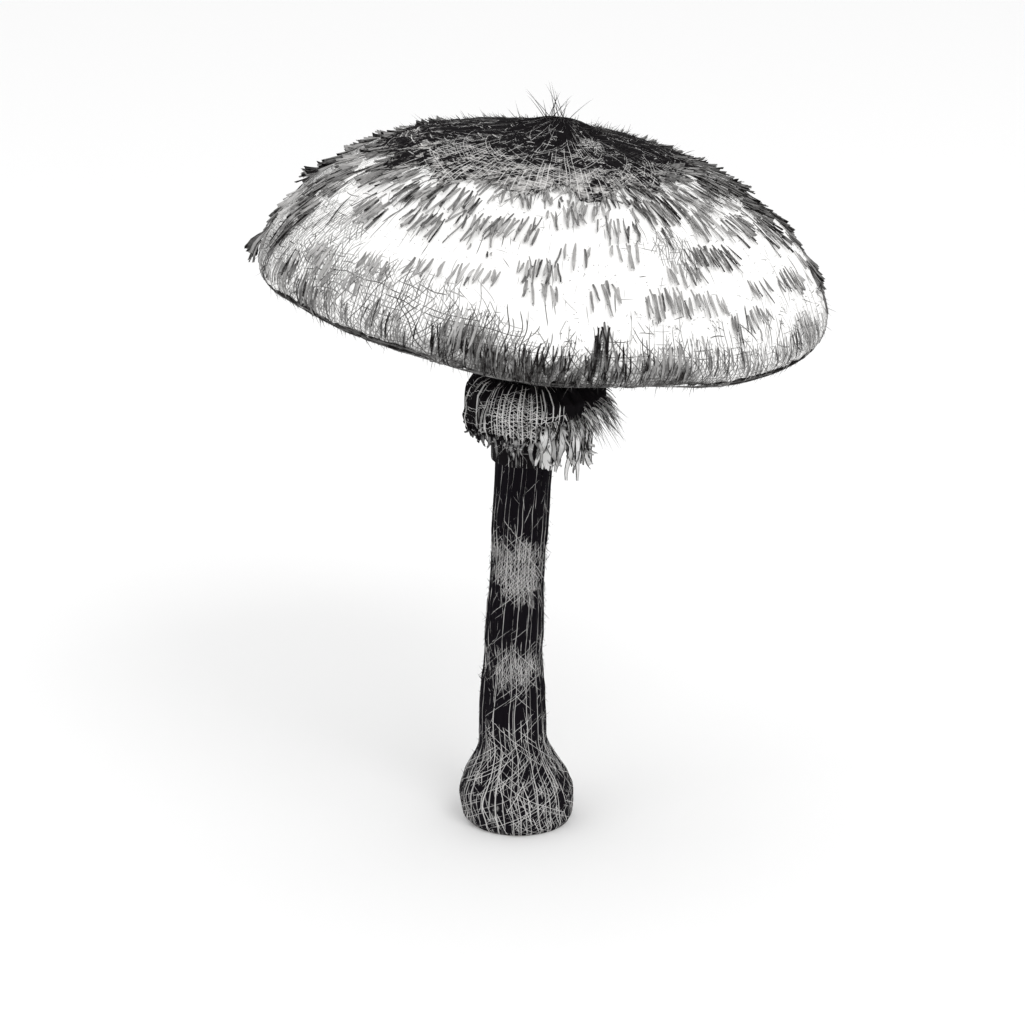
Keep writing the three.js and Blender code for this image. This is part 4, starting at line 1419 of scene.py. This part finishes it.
@dataclass
class Ring(Piece):
    """The felted collar round the stem, puffed above and torn into hanging strips below."""

    stem: StemForm = StemForm()
    columns: int = 300
    rows: int = 72
    strips: int = 84
    broad_strips: int = 26
    feathers: int = 150
    left: float = 19 * MM
    right: float = 26 * MM
    inside: float = 9.3 * MM
    above: float = 134 * MM  # its middle is on the line's first station above this
    stations: int = 200
    seed: int = 51

    @cached_property
    def height(self) -> float:
        """The height of the ring's middle."""
        heights = self.stem.heights(self.stations)
        return float(heights[heights > self.above][0])

    def set_round(self, radius: Array, angle: Array, height: Array) -> Array:
        """Points round the stem's line at the ring, from a radius, an angle and a height above its middle."""
        offsets = polar(radius, angle, height)
        return self.stem.around(np.full(offsets.shape[:-1], self.height), offsets)

    def reach(self, angle: Array) -> Array:
        """How far the collar stands out: less on -X, more on +X."""
        return blend(self.left, self.right, (0.5 + 0.5 * np.cos(angle)) ** 1.5)

    def rim(self, angle: Array) -> Array:
        """The radius of the lower edge: less than the reach on +X, where the collar slopes in."""
        return self.reach(angle) * (1 - 0.2 * (0.5 + 0.5 * np.cos(angle)) ** 2)

    def shape(self) -> None:
        """The collar, its hanging strips, and its feathers."""
        self._add_collar()
        draw, count = self.draw, self.strips
        turn = TAU * (np.arange(count) + draw.uniform(-0.4, 0.4, count)) / count
        right = 0.5 + 0.5 * np.cos(turn - math.radians(-30))
        long = blend(3.5, 11, right**1.3) * draw.uniform(0.55, 1.2, count)
        wide = 0.75 * draw.uniform(1.0, 2.6, count)
        self._hang(turn, long, wide, 0.5 * MM, 0.75 - 0.5 * side(turn, -35, 50))
        count = self.broad_strips
        turn = np.radians(np.linspace(-78, 24, count) + draw.uniform(-4, 4, count))
        long = draw.uniform(13, 19, count) * (0.75 + 0.25 * side(turn, -40, 40))
        wide = 1.4 + 3.4 * draw.uniform(0, 1, count) ** 2
        self._hang(turn, long, wide, 4.5 * MM, draw.choice([0.0, 0.1, 0.35], count, p=[0.6, 0.3, 0.1]))
        self._add_feathers()

    def _add_collar(self) -> None:
        """Adds the collar as one closed band.

        Its outline is a loop of stops, as radii and heights, with eased steps from stop to stop. On the
        side of the broad strips, its rim is drawn up by lifted.
        """
        around, angle = self.noise.around, full_turn(self.columns)
        reach, rim, inside = self.reach(angle), self.rim(angle), self.inside
        lifted = 3.5 * side(angle, -25, 50)
        stops = [
            (inside, -12.5), (inside, 0.0), (inside, 12.5), (inside + 1.2 * MM, 15.0),
            (blend(inside, reach, 0.35), 15.6), (blend(inside, reach, 0.66), 14.2),
            (blend(inside, reach, 0.9), 11.0), (blend(rim, reach, 0.6), 6.6 + 0.3 * lifted),
            (rim + 0.2 * MM, 1.6 + lifted), (rim - 1.0 * MM, -2.2 + lifted), (rim - 2.0 * MM, -2.0 + lifted),
            (rim - 2.2 * MM, 3.6 + 0.4 * lifted), (blend(inside, rim, 0.6), 7.6), (inside + 3.2 * MM, 5.6),
            (inside + 1.6 * MM, -2.0), (inside + 1.3 * MM, -12.2),
        ]
        loops = (np.concatenate([np.broadcast_to(at, angle.shape) for at in axis]) for axis in zip(*stops))
        place = np.linspace(0, len(stops), self.rows, endpoint=False)
        low = np.floor(place).astype(int)
        part = (0.6 * ease(place - low, 0, 1) + 0.4 * (place - low))[:, None]
        radius, height = (blend(loop[low], loop[(low + 1) % len(stops)], part) for loop in loops)
        height = height * MM
        out = ease(radius, inside + 1 * MM, inside + 8 * MM)
        fold, fine = around(angle, 7, height / (16 * MM)), around(angle, 30, height / (12 * MM))
        radius = radius + out * (1.1 * fold + 0.5 * fine) * MM
        height = height + out * (0.9 * fold + 0.35 * fine) * MM
        far = height / MM
        low_down = 1 - ease(far, 7, 17)
        # painted highlight and shade: the collar's lower front is lighter with the most pale thread, and its
        # top, under the cap, has less
        shade = 0.97 - out * (0.15 * side(angle, -92, 26) * low_down + 0.1 * side(angle, 90, 60))
        front = (0.35 + 0.65 * low_down) * side(angle, -94, 34)
        scratch = 0.14 + 0.2 * (1 - ease(far, -5, -1)) + out * (0.95 * front + 0.42 * side(angle, -165, 40))
        faces = band_faces(self.rows, self.columns)
        grain = polar(16, angle, (height - radius) / GRAIN_STEP)
        self.mesh.add(self.set_round(radius, angle, height), faces, grain, shade, scratch)

    def _add_feathers(self) -> None:
        """Adds the feathers: dark strips that stand out and down from the shoulder on +X."""
        draw, count, noise = self.draw, self.feathers, ValueNoise(self.seed + 7).at
        turn = np.radians(draw.normal(-18, 34, count))
        up = draw.uniform(0, 1, count)
        long = draw.uniform(5, 10, count) * (0.4 + 0.6 * np.maximum(np.cos(turn), 0))
        inset = (2.2 + 4.5 * ease(up, 0.7, 1)) * MM
        start = blend(self.rim(turn), self.reach(turn), ease(up, 0, 0.8)) - inset
        down, across = line_up(7, 3)
        each = slabs(np.arange(count))
        steep = slabs(draw.uniform(0.35, 1.0, count) * (1 - 0.5 * ease(up, 0.6, 1)))
        run = slabs(long) * MM * down
        radius = slabs(start) + run * np.cos(steep) * (1 - 0.25 * down)
        height = slabs(blend(3.5, 13.0, up)) * MM - run * np.sin(steep) * (0.6 + 0.5 * down)
        half = slabs(draw.uniform(0.4, 1.0, count)) * MM * (1 - 0.85 * down**1.6)
        angle = slabs(turn) + (across * half + noise(down * 2, each * 1.9) * 1.6 * MM * down) / radius
        thick = (0.5 - 0.3 * down) * MM
        # painted shade: the higher feathers, under the cap's rim, are made darker
        dark = draw.uniform(0.15, 0.65, count) + 0.6 * ease(up, 0.55, 0.85)
        sides = (self.set_round(radius, angle, height + away * thick) for away in (0.5, -0.5))
        grain = stack(across * half / (0.7 * MM), 3.3 * each, run / GRAIN_STEP)
        self.mesh.add_slabs(*sides, grain, slabs(dark) * (0.5 + 0.5 * across**2))

    def _hang(self, angle: Array, long: Array, wide: Array, top: float, dark: Array) -> None:
        """Adds torn strips: slabs that start inside the collar's edge and hang, curl and taper.

        Their edges are dark and their middles as dark as given: dark + (0.88 - dark) * across^8.

        Args:
            angle: where each hangs.
            long: their lengths, in mm.
            wide: their widths, in mm.
            top: how far above the ring's middle they start.
            dark: the shade of each.
        """
        draw, count, noise = self.draw, len(angle), ValueNoise(self.seed + len(angle)).at
        tuck, curl = slabs(draw.uniform(0.02, 0.34, count)), slabs(draw.uniform(-0.5, 1.1, count) ** 3)
        inset = slabs(draw.uniform(-0.6, 1.6, count)) * MM
        down, across = line_up(11, 9)
        each = slabs(np.arange(count))
        long, wide, dark = slabs(long) * MM, slabs(wide) * MM, slabs(dark)
        drop = long * (down - 0.22 * curl * down**4)
        radius = self.rim(slabs(angle)) - inset - tuck * long * down**1.4 + 0.25 * wide * across**2
        radius = radius + 0.5 * long * np.maximum(curl, 0) * down**4 + 0.5 * MM * noise(down * 4, each * 2.9)
        half = 0.5 * wide * (1 - 0.7 * down**2.2) * (1 + 0.3 * noise(down * 6, each * 3.3, across))
        turn = slabs(angle) + (across * half + noise(down * 2.2, each * 1.7) * 1.5 * MM) / radius
        height = top - drop + 0.8 * MM * noise(across, each * 4.1) * down
        thick = (0.55 - 0.3 * down) * MM
        shade = dark + (0.88 - dark) * across**8 + 0.15 * noise(each * 5.1, down * 3)
        shade = shade + 0.35 * (1 - ease(down, 0, 0.2))
        sides = (self.set_round(radius + away * thick, turn, height) for away in (0.5, -0.5))
        self.mesh.add_slabs(*sides, stack(across * wide / (1.4 * MM), 2.7 * each, drop / GRAIN_STEP), shade)


@dataclass
class Stem(Piece):
    """The fibrous stem, from the cut across its bulb to the flesh of the cap."""

    form: StemForm = StemForm()
    columns: int = 220
    rows: int = 400
    bottom: float = 0.25 * MM
    bands: Rows = ((56, 8), (87, 12))  # middle and half height, mm
    # pale threads at the torn bands, partly real torn skin and partly painted highlight
    threads: Rows = ((0.5, 91, 16), (0.5, 87, 9), (0.45, 54, 12), (0.35, 54, 7))  # how much, and the same
    teeth: int = 6
    tooth_height: float = 5.0
    seed: int = 61

    def shape(self) -> None:
        """Rings up the stem's line, with long fibres, a rough bulb and bands of torn skin.

        The bands' edges zigzag by teeth and are frayed by noise. Their pale threads are partly a painted
        highlight: most in front and behind and fewest at the sides, which stay dark as painted shade.
        """
        around, angle = self.noise.around, full_turn(self.columns)
        height = self.form.heights(self.rows)
        height[0] = self.bottom
        far = height[:, None] / MM
        fibre, fine = around(angle, 9, far / 26), around(angle, 26, far / 12, octaves=2)
        tooth = (np.abs((angle / TAU * self.teeth) % 1 - 0.5) * 2 - 0.5) * self.tooth_height
        level = far + tooth + 2.2 * around(angle, 12, far / 9)
        torn = sum(1 - ease(np.abs(level - middle), half - 5, half + 2) for middle, half in self.bands)
        torn, rough = np.clip(torn, 0, 1), around(angle, 3.2, far / 8)
        bulb = 1 - ease(far, 18, 36)
        soft = sum(part * hill(far, middle, half) for part, middle, half in self.threads)
        # painted highlight: the bands' pale threads peak in front and behind and thin out at the sides; the
        # bulb's own pale lines are added after
        soft = 1.15 * soft * (0.64 + 0.36 * np.cos(2 * (angle + math.pi / 2))) + 0.7 * (1 - ease(far, 24, 44))
        lift = (0.32 * fibre + 0.16 * fine) * (1 - 0.5 * bulb) - 0.5 * torn + 0.5 * bulb * rough
        uneven = 1 + 0.02 * np.sin(2 * angle + far / 17) * ease(far, 2, 40)
        radius = self.form.width(height)[:, None] * uneven + lift * ease(far, 0.3, 2.5) * MM
        points = self.form.around(np.broadcast_to(height[:, None], radius.shape), polar(radius, angle))
        ends = self.form.centre(np.array([self.bottom, self.form.line[-1, 2]]))
        shade = 0.95 - 0.15 * torn - 0.3 * bulb + 0.06 * fibre + 0.15 * bulb * rough
        scratch = 0.02 + 0.12 * hill(far, 39, 7) + np.clip(0.8 * soft + 0.15 * torn + 0.1 * rough, 0, 0.9)
        values = (capped(0.5, value, last=0.5) for value in (shade, scratch))
        grain = polar(13, angle, far / 11)
        grain = capped(grain[0, 0], grain, last=grain[-1, -1])
        points = capped(ends[0], points, last=ends[1])
        self.mesh.add(points, skin_faces(self.rows, self.columns), grain, *values)


@dataclass
class CutFace(Piece):
    """The pale flesh of the flat cut that the mushroom stands on."""

    form: StemForm = StemForm()
    columns: int = 160
    rows: int = 24
    thick: float = 0.5 * MM
    seed: int = 71

    def shape(self) -> None:
        """A thin disc with a flat underside and a slightly uneven rim."""
        angle = full_turn(self.columns)
        rim = self.form.cut - (0.3 + 0.25 * self.noise.around(angle, 5)) * MM
        part = np.linspace(0.03, 1, self.rows)[:, None]
        flat, middle = polar(part * rim, angle), np.array([0.0, 0.0, self.thick])
        points = capped(np.zeros(3), flat, flat[::-1] + middle, last=middle)
        rings = 0.3 + 0.25 * ease(part, 0.8, 1.0) + 0 * angle
        shade = capped(0.3, rings, rings[::-1], last=0.3)
        self.mesh.add(points, skin_faces(2 * self.rows, self.columns), points / (1.6 * MM), shade)


@dataclass
class Fringe(CapPiece):
    """Short torn hairs round the margin of the cap, pointing down and out."""

    count: int = 1500
    seed: int = 81

    def shape(self) -> None:
        """Hairs rooted near the end of the outline, along it and a little outwards."""
        draw, count, form = self.draw, self.count, self.form
        angle = draw.uniform(-math.pi, math.pi, count)
        share = draw.uniform(0.955, 1.0, count)
        root = form.place(share, angle, -0.2 * MM)
        down, out = form.downwards(0.985, angle, 0.015), form.outwards(share, angle)
        spread = draw.normal(0, 0.35, (3, count, 1))
        aim = down * (1 + 0.3 * spread[0]) + out * (0.25 + 0.5 * np.abs(spread[1]))
        aim = aim + unit(np.cross(down, out)) * spread[2]
        bend = out * draw.normal(0, 0.15, (count, 1)) + np.array([0, 0, -0.2])
        length = draw.gamma(2.6, 0.6, count).clip(0.7, 5.0) * MM
        radius = draw.uniform(0.06, 0.14, count) * MM
        Hairs(self.mesh, root, aim, bend, length, radius, draw.uniform(0.7, 1.0, count)).place()


@dataclass
class CapFuzz(CapPiece):
    """Loose fibres that stand off the disc and the scales, and a small tuft at the very top."""

    on_disc: int = 1500
    below_disc: int = 900
    nap: int = 2400
    nap_from: float = 44 * MM
    clumps: int = 80
    hairs_a_clump: int = 8
    tuft: int = 17
    seed: int = 91

    def shape(self) -> None:
        """Hairs on the disc and from its edge down, clumps on the scales, the nap and the tuft."""
        draw, edge = self.draw, self.disc.edge
        angle = draw.uniform(-math.pi, math.pi, self.on_disc)
        along = edge(angle) * draw.uniform(0.05, 1, self.on_disc) ** 0.6
        self._add(along, angle, 0.9 * MM, lean=0.75, reach=1.7)
        angle = draw.uniform(-math.pi, math.pi, self.below_disc)
        along = edge(angle) + draw.uniform(-3, 1.5, self.below_disc) * MM
        self._add(along, angle, 0.6 * MM, lean=0.16, reach=2.0)
        angle = np.repeat(draw.uniform(-math.pi, math.pi, self.clumps), self.hairs_a_clump)
        along = np.repeat(draw.uniform(92, 112, self.clumps), self.hairs_a_clump) * MM
        along = along + draw.normal(0, 0.8, along.shape) * MM
        angle = angle + draw.normal(0, 0.9, angle.shape) / 60
        self._add(along, angle, 0.0, lean=0.9, reach=1.2)
        self._add_nap()
        self._add_tuft()

    def _add_nap(self) -> None:
        """Adds the nap: very short hairs that stand all over the pale skin."""
        draw, count, form = self.draw, self.nap, self.form
        angle = draw.uniform(-math.pi, math.pi, count)
        length = form.table[1][-1]
        share = form.share_at(np.sqrt(draw.uniform((self.nap_from / length) ** 2, 1, count)) * length)
        root, out = form.place(share, angle, -0.1 * MM), form.outwards(share, angle)
        aim = out + draw.normal(0, 0.5, (count, 3))
        length = draw.uniform(0.5, 1.1, count) * MM
        radius = draw.uniform(0.07, 0.12, count) * MM
        shade = draw.uniform(0.7, 1.0, count)
        Hairs(self.mesh, root, aim, 0 * out, length, radius, shade, 1).place()

    def _add(self, along: Array, angle: Array, lift: float, lean: float, reach: float) -> None:
        """Adds hairs on the skin.

        Args:
            along: down the skin.
            angle: from +X.
            lift: how far off it their roots are.
            lean: how far they stand off it, from 0 for flat.
            reach: how long they are, as a scale.
        """
        draw, count = self.draw, len(along)
        share = self.form.share_at(along)
        root = self.form.place(share, angle, lift - 0.2 * MM)
        down, out = self.form.downwards(share, angle, 0.004), self.form.outwards(share, angle)
        tilt = (lean * draw.uniform(0.3, 1.7, count))[:, None]
        aim = down + out * tilt + unit(np.cross(down, out)) * draw.normal(0, 0.4, (count, 1))
        bend = out * draw.normal(0, 0.18, (count, 1)) + down * 0.15
        length = reach * draw.gamma(3.0, 0.42, count).clip(0.4, 3.2) * MM
        radius = draw.uniform(0.06, 0.14, count) * MM
        Hairs(self.mesh, root, aim, bend, length, radius, draw.uniform(0.75, 1.0, count)).place()

    def _add_tuft(self) -> None:
        """Adds the tuft: a fan of longer hairs from one spot just in front of the umbo."""
        draw, count = self.draw, self.tuft
        fan = np.linspace(-0.7, 0.75, count) + draw.normal(0, 0.1, count)
        spot = self.form.place(self.form.share_at(2 * MM), math.radians(-150), 0.0)
        root = spot + draw.uniform(-1, 1, (count, 3)) * np.array([4.0, 1.5, 0.0]) * MM - [0, 0, 0.3 * MM]
        aim = stack(np.sin(fan), draw.normal(0, 0.15, count), np.cos(fan))
        bend = stack(0.22 * np.sign(fan) * fan**2, 0.0, -0.08)
        length = draw.uniform(7, 14.5, count) * MM
        radius, shade = np.full(count, 0.14 * MM), np.full(count, 0.9)
        Hairs(self.mesh, root, aim, bend, length, radius, shade, 6).place()


@dataclass
class StemFuzz(Piece):
    """Loose fibres on the stem, on the edges of its torn bands, and sweeping out from the ring."""

    form: StemForm = StemForm()
    ring: Ring = field(default_factory=lambda: RING)
    count: int = 1500
    sweep: int = 300
    lowest: float = 12 * MM
    highest: float = 128 * MM
    edges: tuple[float, ...] = (46.0, 64.0, 74.0, 97.0, 102.0)  # of the torn bands, mm
    seed: int = 101

    def shape(self) -> None:
        """Hairs that leave the stem at a slant, more of them at its torn bands, and the ring's."""
        draw, count = self.draw, self.count
        half = count // 2
        torn = draw.choice(self.edges, count - half) + draw.normal(0, 4, count - half)
        height = np.concatenate([draw.uniform(self.lowest, self.highest, half), torn * MM])
        height = np.clip(height, self.lowest, self.highest)
        angle = draw.uniform(-math.pi, math.pi, count)
        out = polar(1.0, angle)
        root = self.form.around(height, out * (self.form.width(height) - 0.35 * MM)[:, None])
        rise = draw.choice([-1.0, 1.0], (count, 1), p=[0.65, 0.35]) * draw.uniform(0.5, 1.6, (count, 1))
        aim = out * draw.uniform(0.3, 0.9, (count, 1)) + UP * rise
        aim = aim + np.cross(UP, out) * draw.normal(0, 0.3, (count, 1))
        bend = out * draw.normal(0.0, 0.15, (count, 1))
        length = draw.gamma(3.0, 0.45, count).clip(0.5, 3.6) * MM
        thick = draw.uniform(0.06, 0.13, count) * MM
        Hairs(self.mesh, root, aim, bend, length, thick, draw.uniform(0.7, 1.0, count)).place()
        self._add_sweep()

    def _add_sweep(self) -> None:
        """Adds hairs that sweep out and down from the ring's shoulder, most of them on +X."""
        draw, count = self.draw, self.sweep
        most = draw.uniform(0, 1, count) < 0.6
        angle = np.radians(np.where(most, draw.normal(-25, 40, count), draw.uniform(-180, 180, count)))
        part = draw.uniform(0, 1, count)
        radius = self.ring.reach(angle) - (0.3 + 3.5 * part**2) * MM
        root = self.ring.set_round(radius, angle, (3 + 8 * part) * MM)
        out, right = polar(1.0, angle), np.maximum(np.cos(angle), 0)
        aim = out * (0.25 + 0.5 * right)[:, None] - UP * draw.uniform(0.35, 1.0, (count, 1))
        aim = aim + np.cross(UP, out) * draw.normal(0, 0.2, (count, 1))
        length = draw.uniform(2.2, 4.5, count) * (1 + 1.1 * right) * MM
        bend = out * draw.normal(0, 0.1, (count, 1)) - 0.25 * UP
        thick = draw.uniform(0.08, 0.18, count) * MM
        Hairs(self.mesh, root, aim, bend, length, thick, draw.uniform(0.5, 1.0, count), 4).place()


@dataclass(frozen=True)
class Studio:
    """A plain pale floor, soft light and the camera."""

    target: Place = (-2 * MM, 0.0, 105 * MM)
    distance: float = 905 * MM
    elevation: float = math.radians(18.5)
    lens: float = 100.0
    near: float = 10 * MM
    floor_colour: Colour = (0.96, 0.96, 0.96)
    floor_half: float = 6.0
    floor_roughness: float = 0.9
    floor_gloss: float = 0.1
    world_strength: float = 0.95
    lights: tuple[tuple[str, Place, float, float], ...] = (
        # name, place, size and power
        ("key", (0.9, -1.5, 1.9), 1.1, 16.0), ("fill", (-1.6, -1.1, 1.1), 1.4, 4.0),
    )

    def build(self) -> None:
        """Adds the camera, the floor, the lights and the world, and picks the plain view transform."""
        self._camera()
        self._floor()
        self._lamps()
        world = bpy.data.worlds.new("studio")
        world.use_nodes = True
        background = world.node_tree.nodes["Background"]
        background.inputs["Color"].default_value = (1.0, 1.0, 1.0, 1.0)
        background.inputs["Strength"].default_value = self.world_strength
        bpy.context.scene.world = world
        bpy.context.scene.view_settings.view_transform = "Standard"

    def _camera(self) -> None:
        """Places the camera in front, looking along +Y and down."""
        lens = bpy.data.cameras.new("camera")
        lens.lens = self.lens
        lens.clip_start = self.near
        camera = bpy.data.objects.new("camera", lens)
        back = Vector((0.0, -math.cos(self.elevation), math.sin(self.elevation)))
        camera.location = Vector(self.target) + back * self.distance
        camera.rotation_euler = (math.pi / 2 - self.elevation, 0.0, 0.0)
        bpy.context.scene.collection.objects.link(camera)
        bpy.context.scene.camera = camera

    def _floor(self) -> None:
        """Adds the floor, level with the cut."""
        half = self.floor_half
        corners = [(-half, -half, 0), (half, -half, 0), (half, half, 0), (-half, half, 0)]
        mesh = bpy.data.meshes.new("floor")
        mesh.from_pydata(corners, [], [(0, 1, 2, 3)])
        floor = bpy.data.objects.new("floor", mesh)
        material = bpy.data.materials.new("studio_floor")
        material.use_nodes = True
        surface = material.node_tree.nodes["Principled BSDF"]
        surface.inputs["Base Color"].default_value = (*self.floor_colour, 1.0)
        surface.inputs["Roughness"].default_value = self.floor_roughness
        surface.inputs["Specular IOR Level"].default_value = self.floor_gloss
        mesh.materials.append(material)
        bpy.context.scene.collection.objects.link(floor)
        floor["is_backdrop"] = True

    def _lamps(self) -> None:
        """Adds the square area lights, which look at the middle of the mushroom."""
        for name, place, size, power in self.lights:
            light = bpy.data.lights.new(name, "AREA")
            light.size = size
            light.energy = power
            lamp = bpy.data.objects.new(name, light)
            lamp.location = place
            aim = Vector(self.target) - Vector(place)
            lamp.rotation_euler = aim.to_track_quat("-Z", "Y").to_euler()
            bpy.context.scene.collection.objects.link(lamp)


FLESH = FibreFinish(
    "cap_skin", pale=(0.92, 0.915, 0.905), dark=(0.012, 0.011, 0.011), ground=(0.72, 1.12), patches=110.0,
    wash=0.02, grainy=0.1, wander=6.0, ink=Ink.DARK, paint=(0.05, 0.048, 0.046), strokes=(
        Strokes(440, 0.6, 0.0, 0.55, 0.17), Strokes(610, 0.7, 0.2, 0.8, 0.16, slant=1.0),
        Strokes(330, 0.8, 0.1, 0.62, 0.13, slant=3.4), Strokes(290, 0.8, 0.12, 0.66, 0.13, slant=-4.4),
        Strokes(6, 50.0, 0.1, 0.75, 0.12, level=True),
    ),
)
FELT = FibreFinish(
    "disc_felt", pale=(0.8, 0.78, 0.76), dark=(0.006, 0.005, 0.006), ground=(0.25, 0.8), vary=0.5,
    patches=260.0, wander=1.6, paint=(0.7, 0.69, 0.68), strokes=(
        Strokes(150, 0.4, -0.1, 0.55, 0.105), Strokes(125, 0.45, 0.0, 0.6, 0.105, slant=6.0),
        Strokes(112, 0.45, 0.05, 0.6, 0.105, slant=-8.0), Strokes(5, 18.0, 0.05, 0.7, 0.12, level=True),
    ),
)
SCALE = FibreFinish(
    "scale_skin", pale=(0.75, 0.74, 0.73), dark=(0.008, 0.007, 0.007), ground=(0.0, 1.0), vary=0.2,
    patches=300.0, grainy=0.15, wash=0.0,
)
BLADE = FibreFinish(
    "gill_flesh", pale=(0.8, 0.78, 0.75), dark=(0.16, 0.145, 0.13), ground=(0.1, 0.8), relief=0.3,
    roughness=0.85,
)
COLLAR = FibreFinish(
    "ring_felt", pale=(0.95, 0.945, 0.94), dark=(0.006, 0.005, 0.006), ground=(0.15, 0.8), vary=0.2,
    patches=240.0, wash=0.04, grainy=0.12, wander=1.4, paint=(0.9, 0.89, 0.88), strokes=(
        Strokes(60, 0.22, 0.0, 0.65, 0.095), Strokes(96, 0.35, 0.35, 0.95, 0.1),
        Strokes(7, 9.0, 0.45, 0.95, 0.085, level=True), Strokes(56, 0.3, 0.3, 0.95, 0.08, slant=-7.0),
        Strokes(64, 0.4, 0.5, 0.95, 0.09, slant=5.0),
    ),
)
BARK = FibreFinish(
    "stem_skin", pale=(0.75, 0.74, 0.73), dark=(0.005, 0.004, 0.006), ground=(0.0, 0.55), patches=240.0,
    grainy=0.15, wander=1.3, paint=(0.66, 0.65, 0.64), strokes=(
        Strokes(24, 0.13, -0.5, 0.5, 0.05), Strokes(48, 0.6, 0.1, 0.95, 0.09),
        Strokes(40, 0.8, 0.08, 0.95, 0.085, slant=-8.0), Strokes(33, 0.8, 0.15, 1.0, 0.075, slant=6.0),
        Strokes(92, 0.9, 0.25, 0.95, 0.13, slant=3.0), Strokes(80, 0.9, 0.3, 1.0, 0.12, slant=-6.0),
    ),
)
CUT = FibreFinish(
    "cut_flesh", pale=(0.85, 0.83, 0.8), dark=(0.3, 0.28, 0.25), ground=(0.1, 0.9), relief=0.3, roughness=0.8,
)
HAIR = FibreFinish(
    "loose_fibres", pale=(0.4, 0.39, 0.38), dark=(0.008, 0.007, 0.007), ground=(0.2, 0.9), relief=0.1,
)
RING = Ring("fringed_ring", "ring_felt", COLLAR, ("ring",))
PIECES = (
    CapSkin("cap_skin", "cap_flesh", FLESH, ("cap",)),
    TornScales("torn_scales", "dark_skin", SCALE),
    LooseThreads("loose_threads", "dark_skin", SCALE),
    Disc("disc_skin", "dark_skin", FELT, ("cap_disc",)),
    Gills("gill_blades", "gill", BLADE, ("gills",)),
    RING,
    Stem("stem_shaft", "stem_skin", BARK, ("stem",)),
    CutFace("stem_cut", "cut_flesh", CUT),
    Fringe("margin_fringe", "dark_skin", HAIR),
    CapFuzz("cap_fibres", "dark_skin", HAIR),
    StemFuzz("stem_fibres", "stem_skin", HAIR),
)


def main() -> None:
    """Builds the studio and every piece."""
    logging.basicConfig(level=logging.INFO, format="%(name)s: %(message)s")
    Studio().build()
    groups = NodeGroups()
    for piece in PIECES:
        piece.make(groups)
    bounds = (("cad", CAD_BOUNDS), ("visual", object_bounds()))
    boxes = {name: [list(corner) for corner in box] for name, box in bounds}


if __name__ == "__main__":
    main()
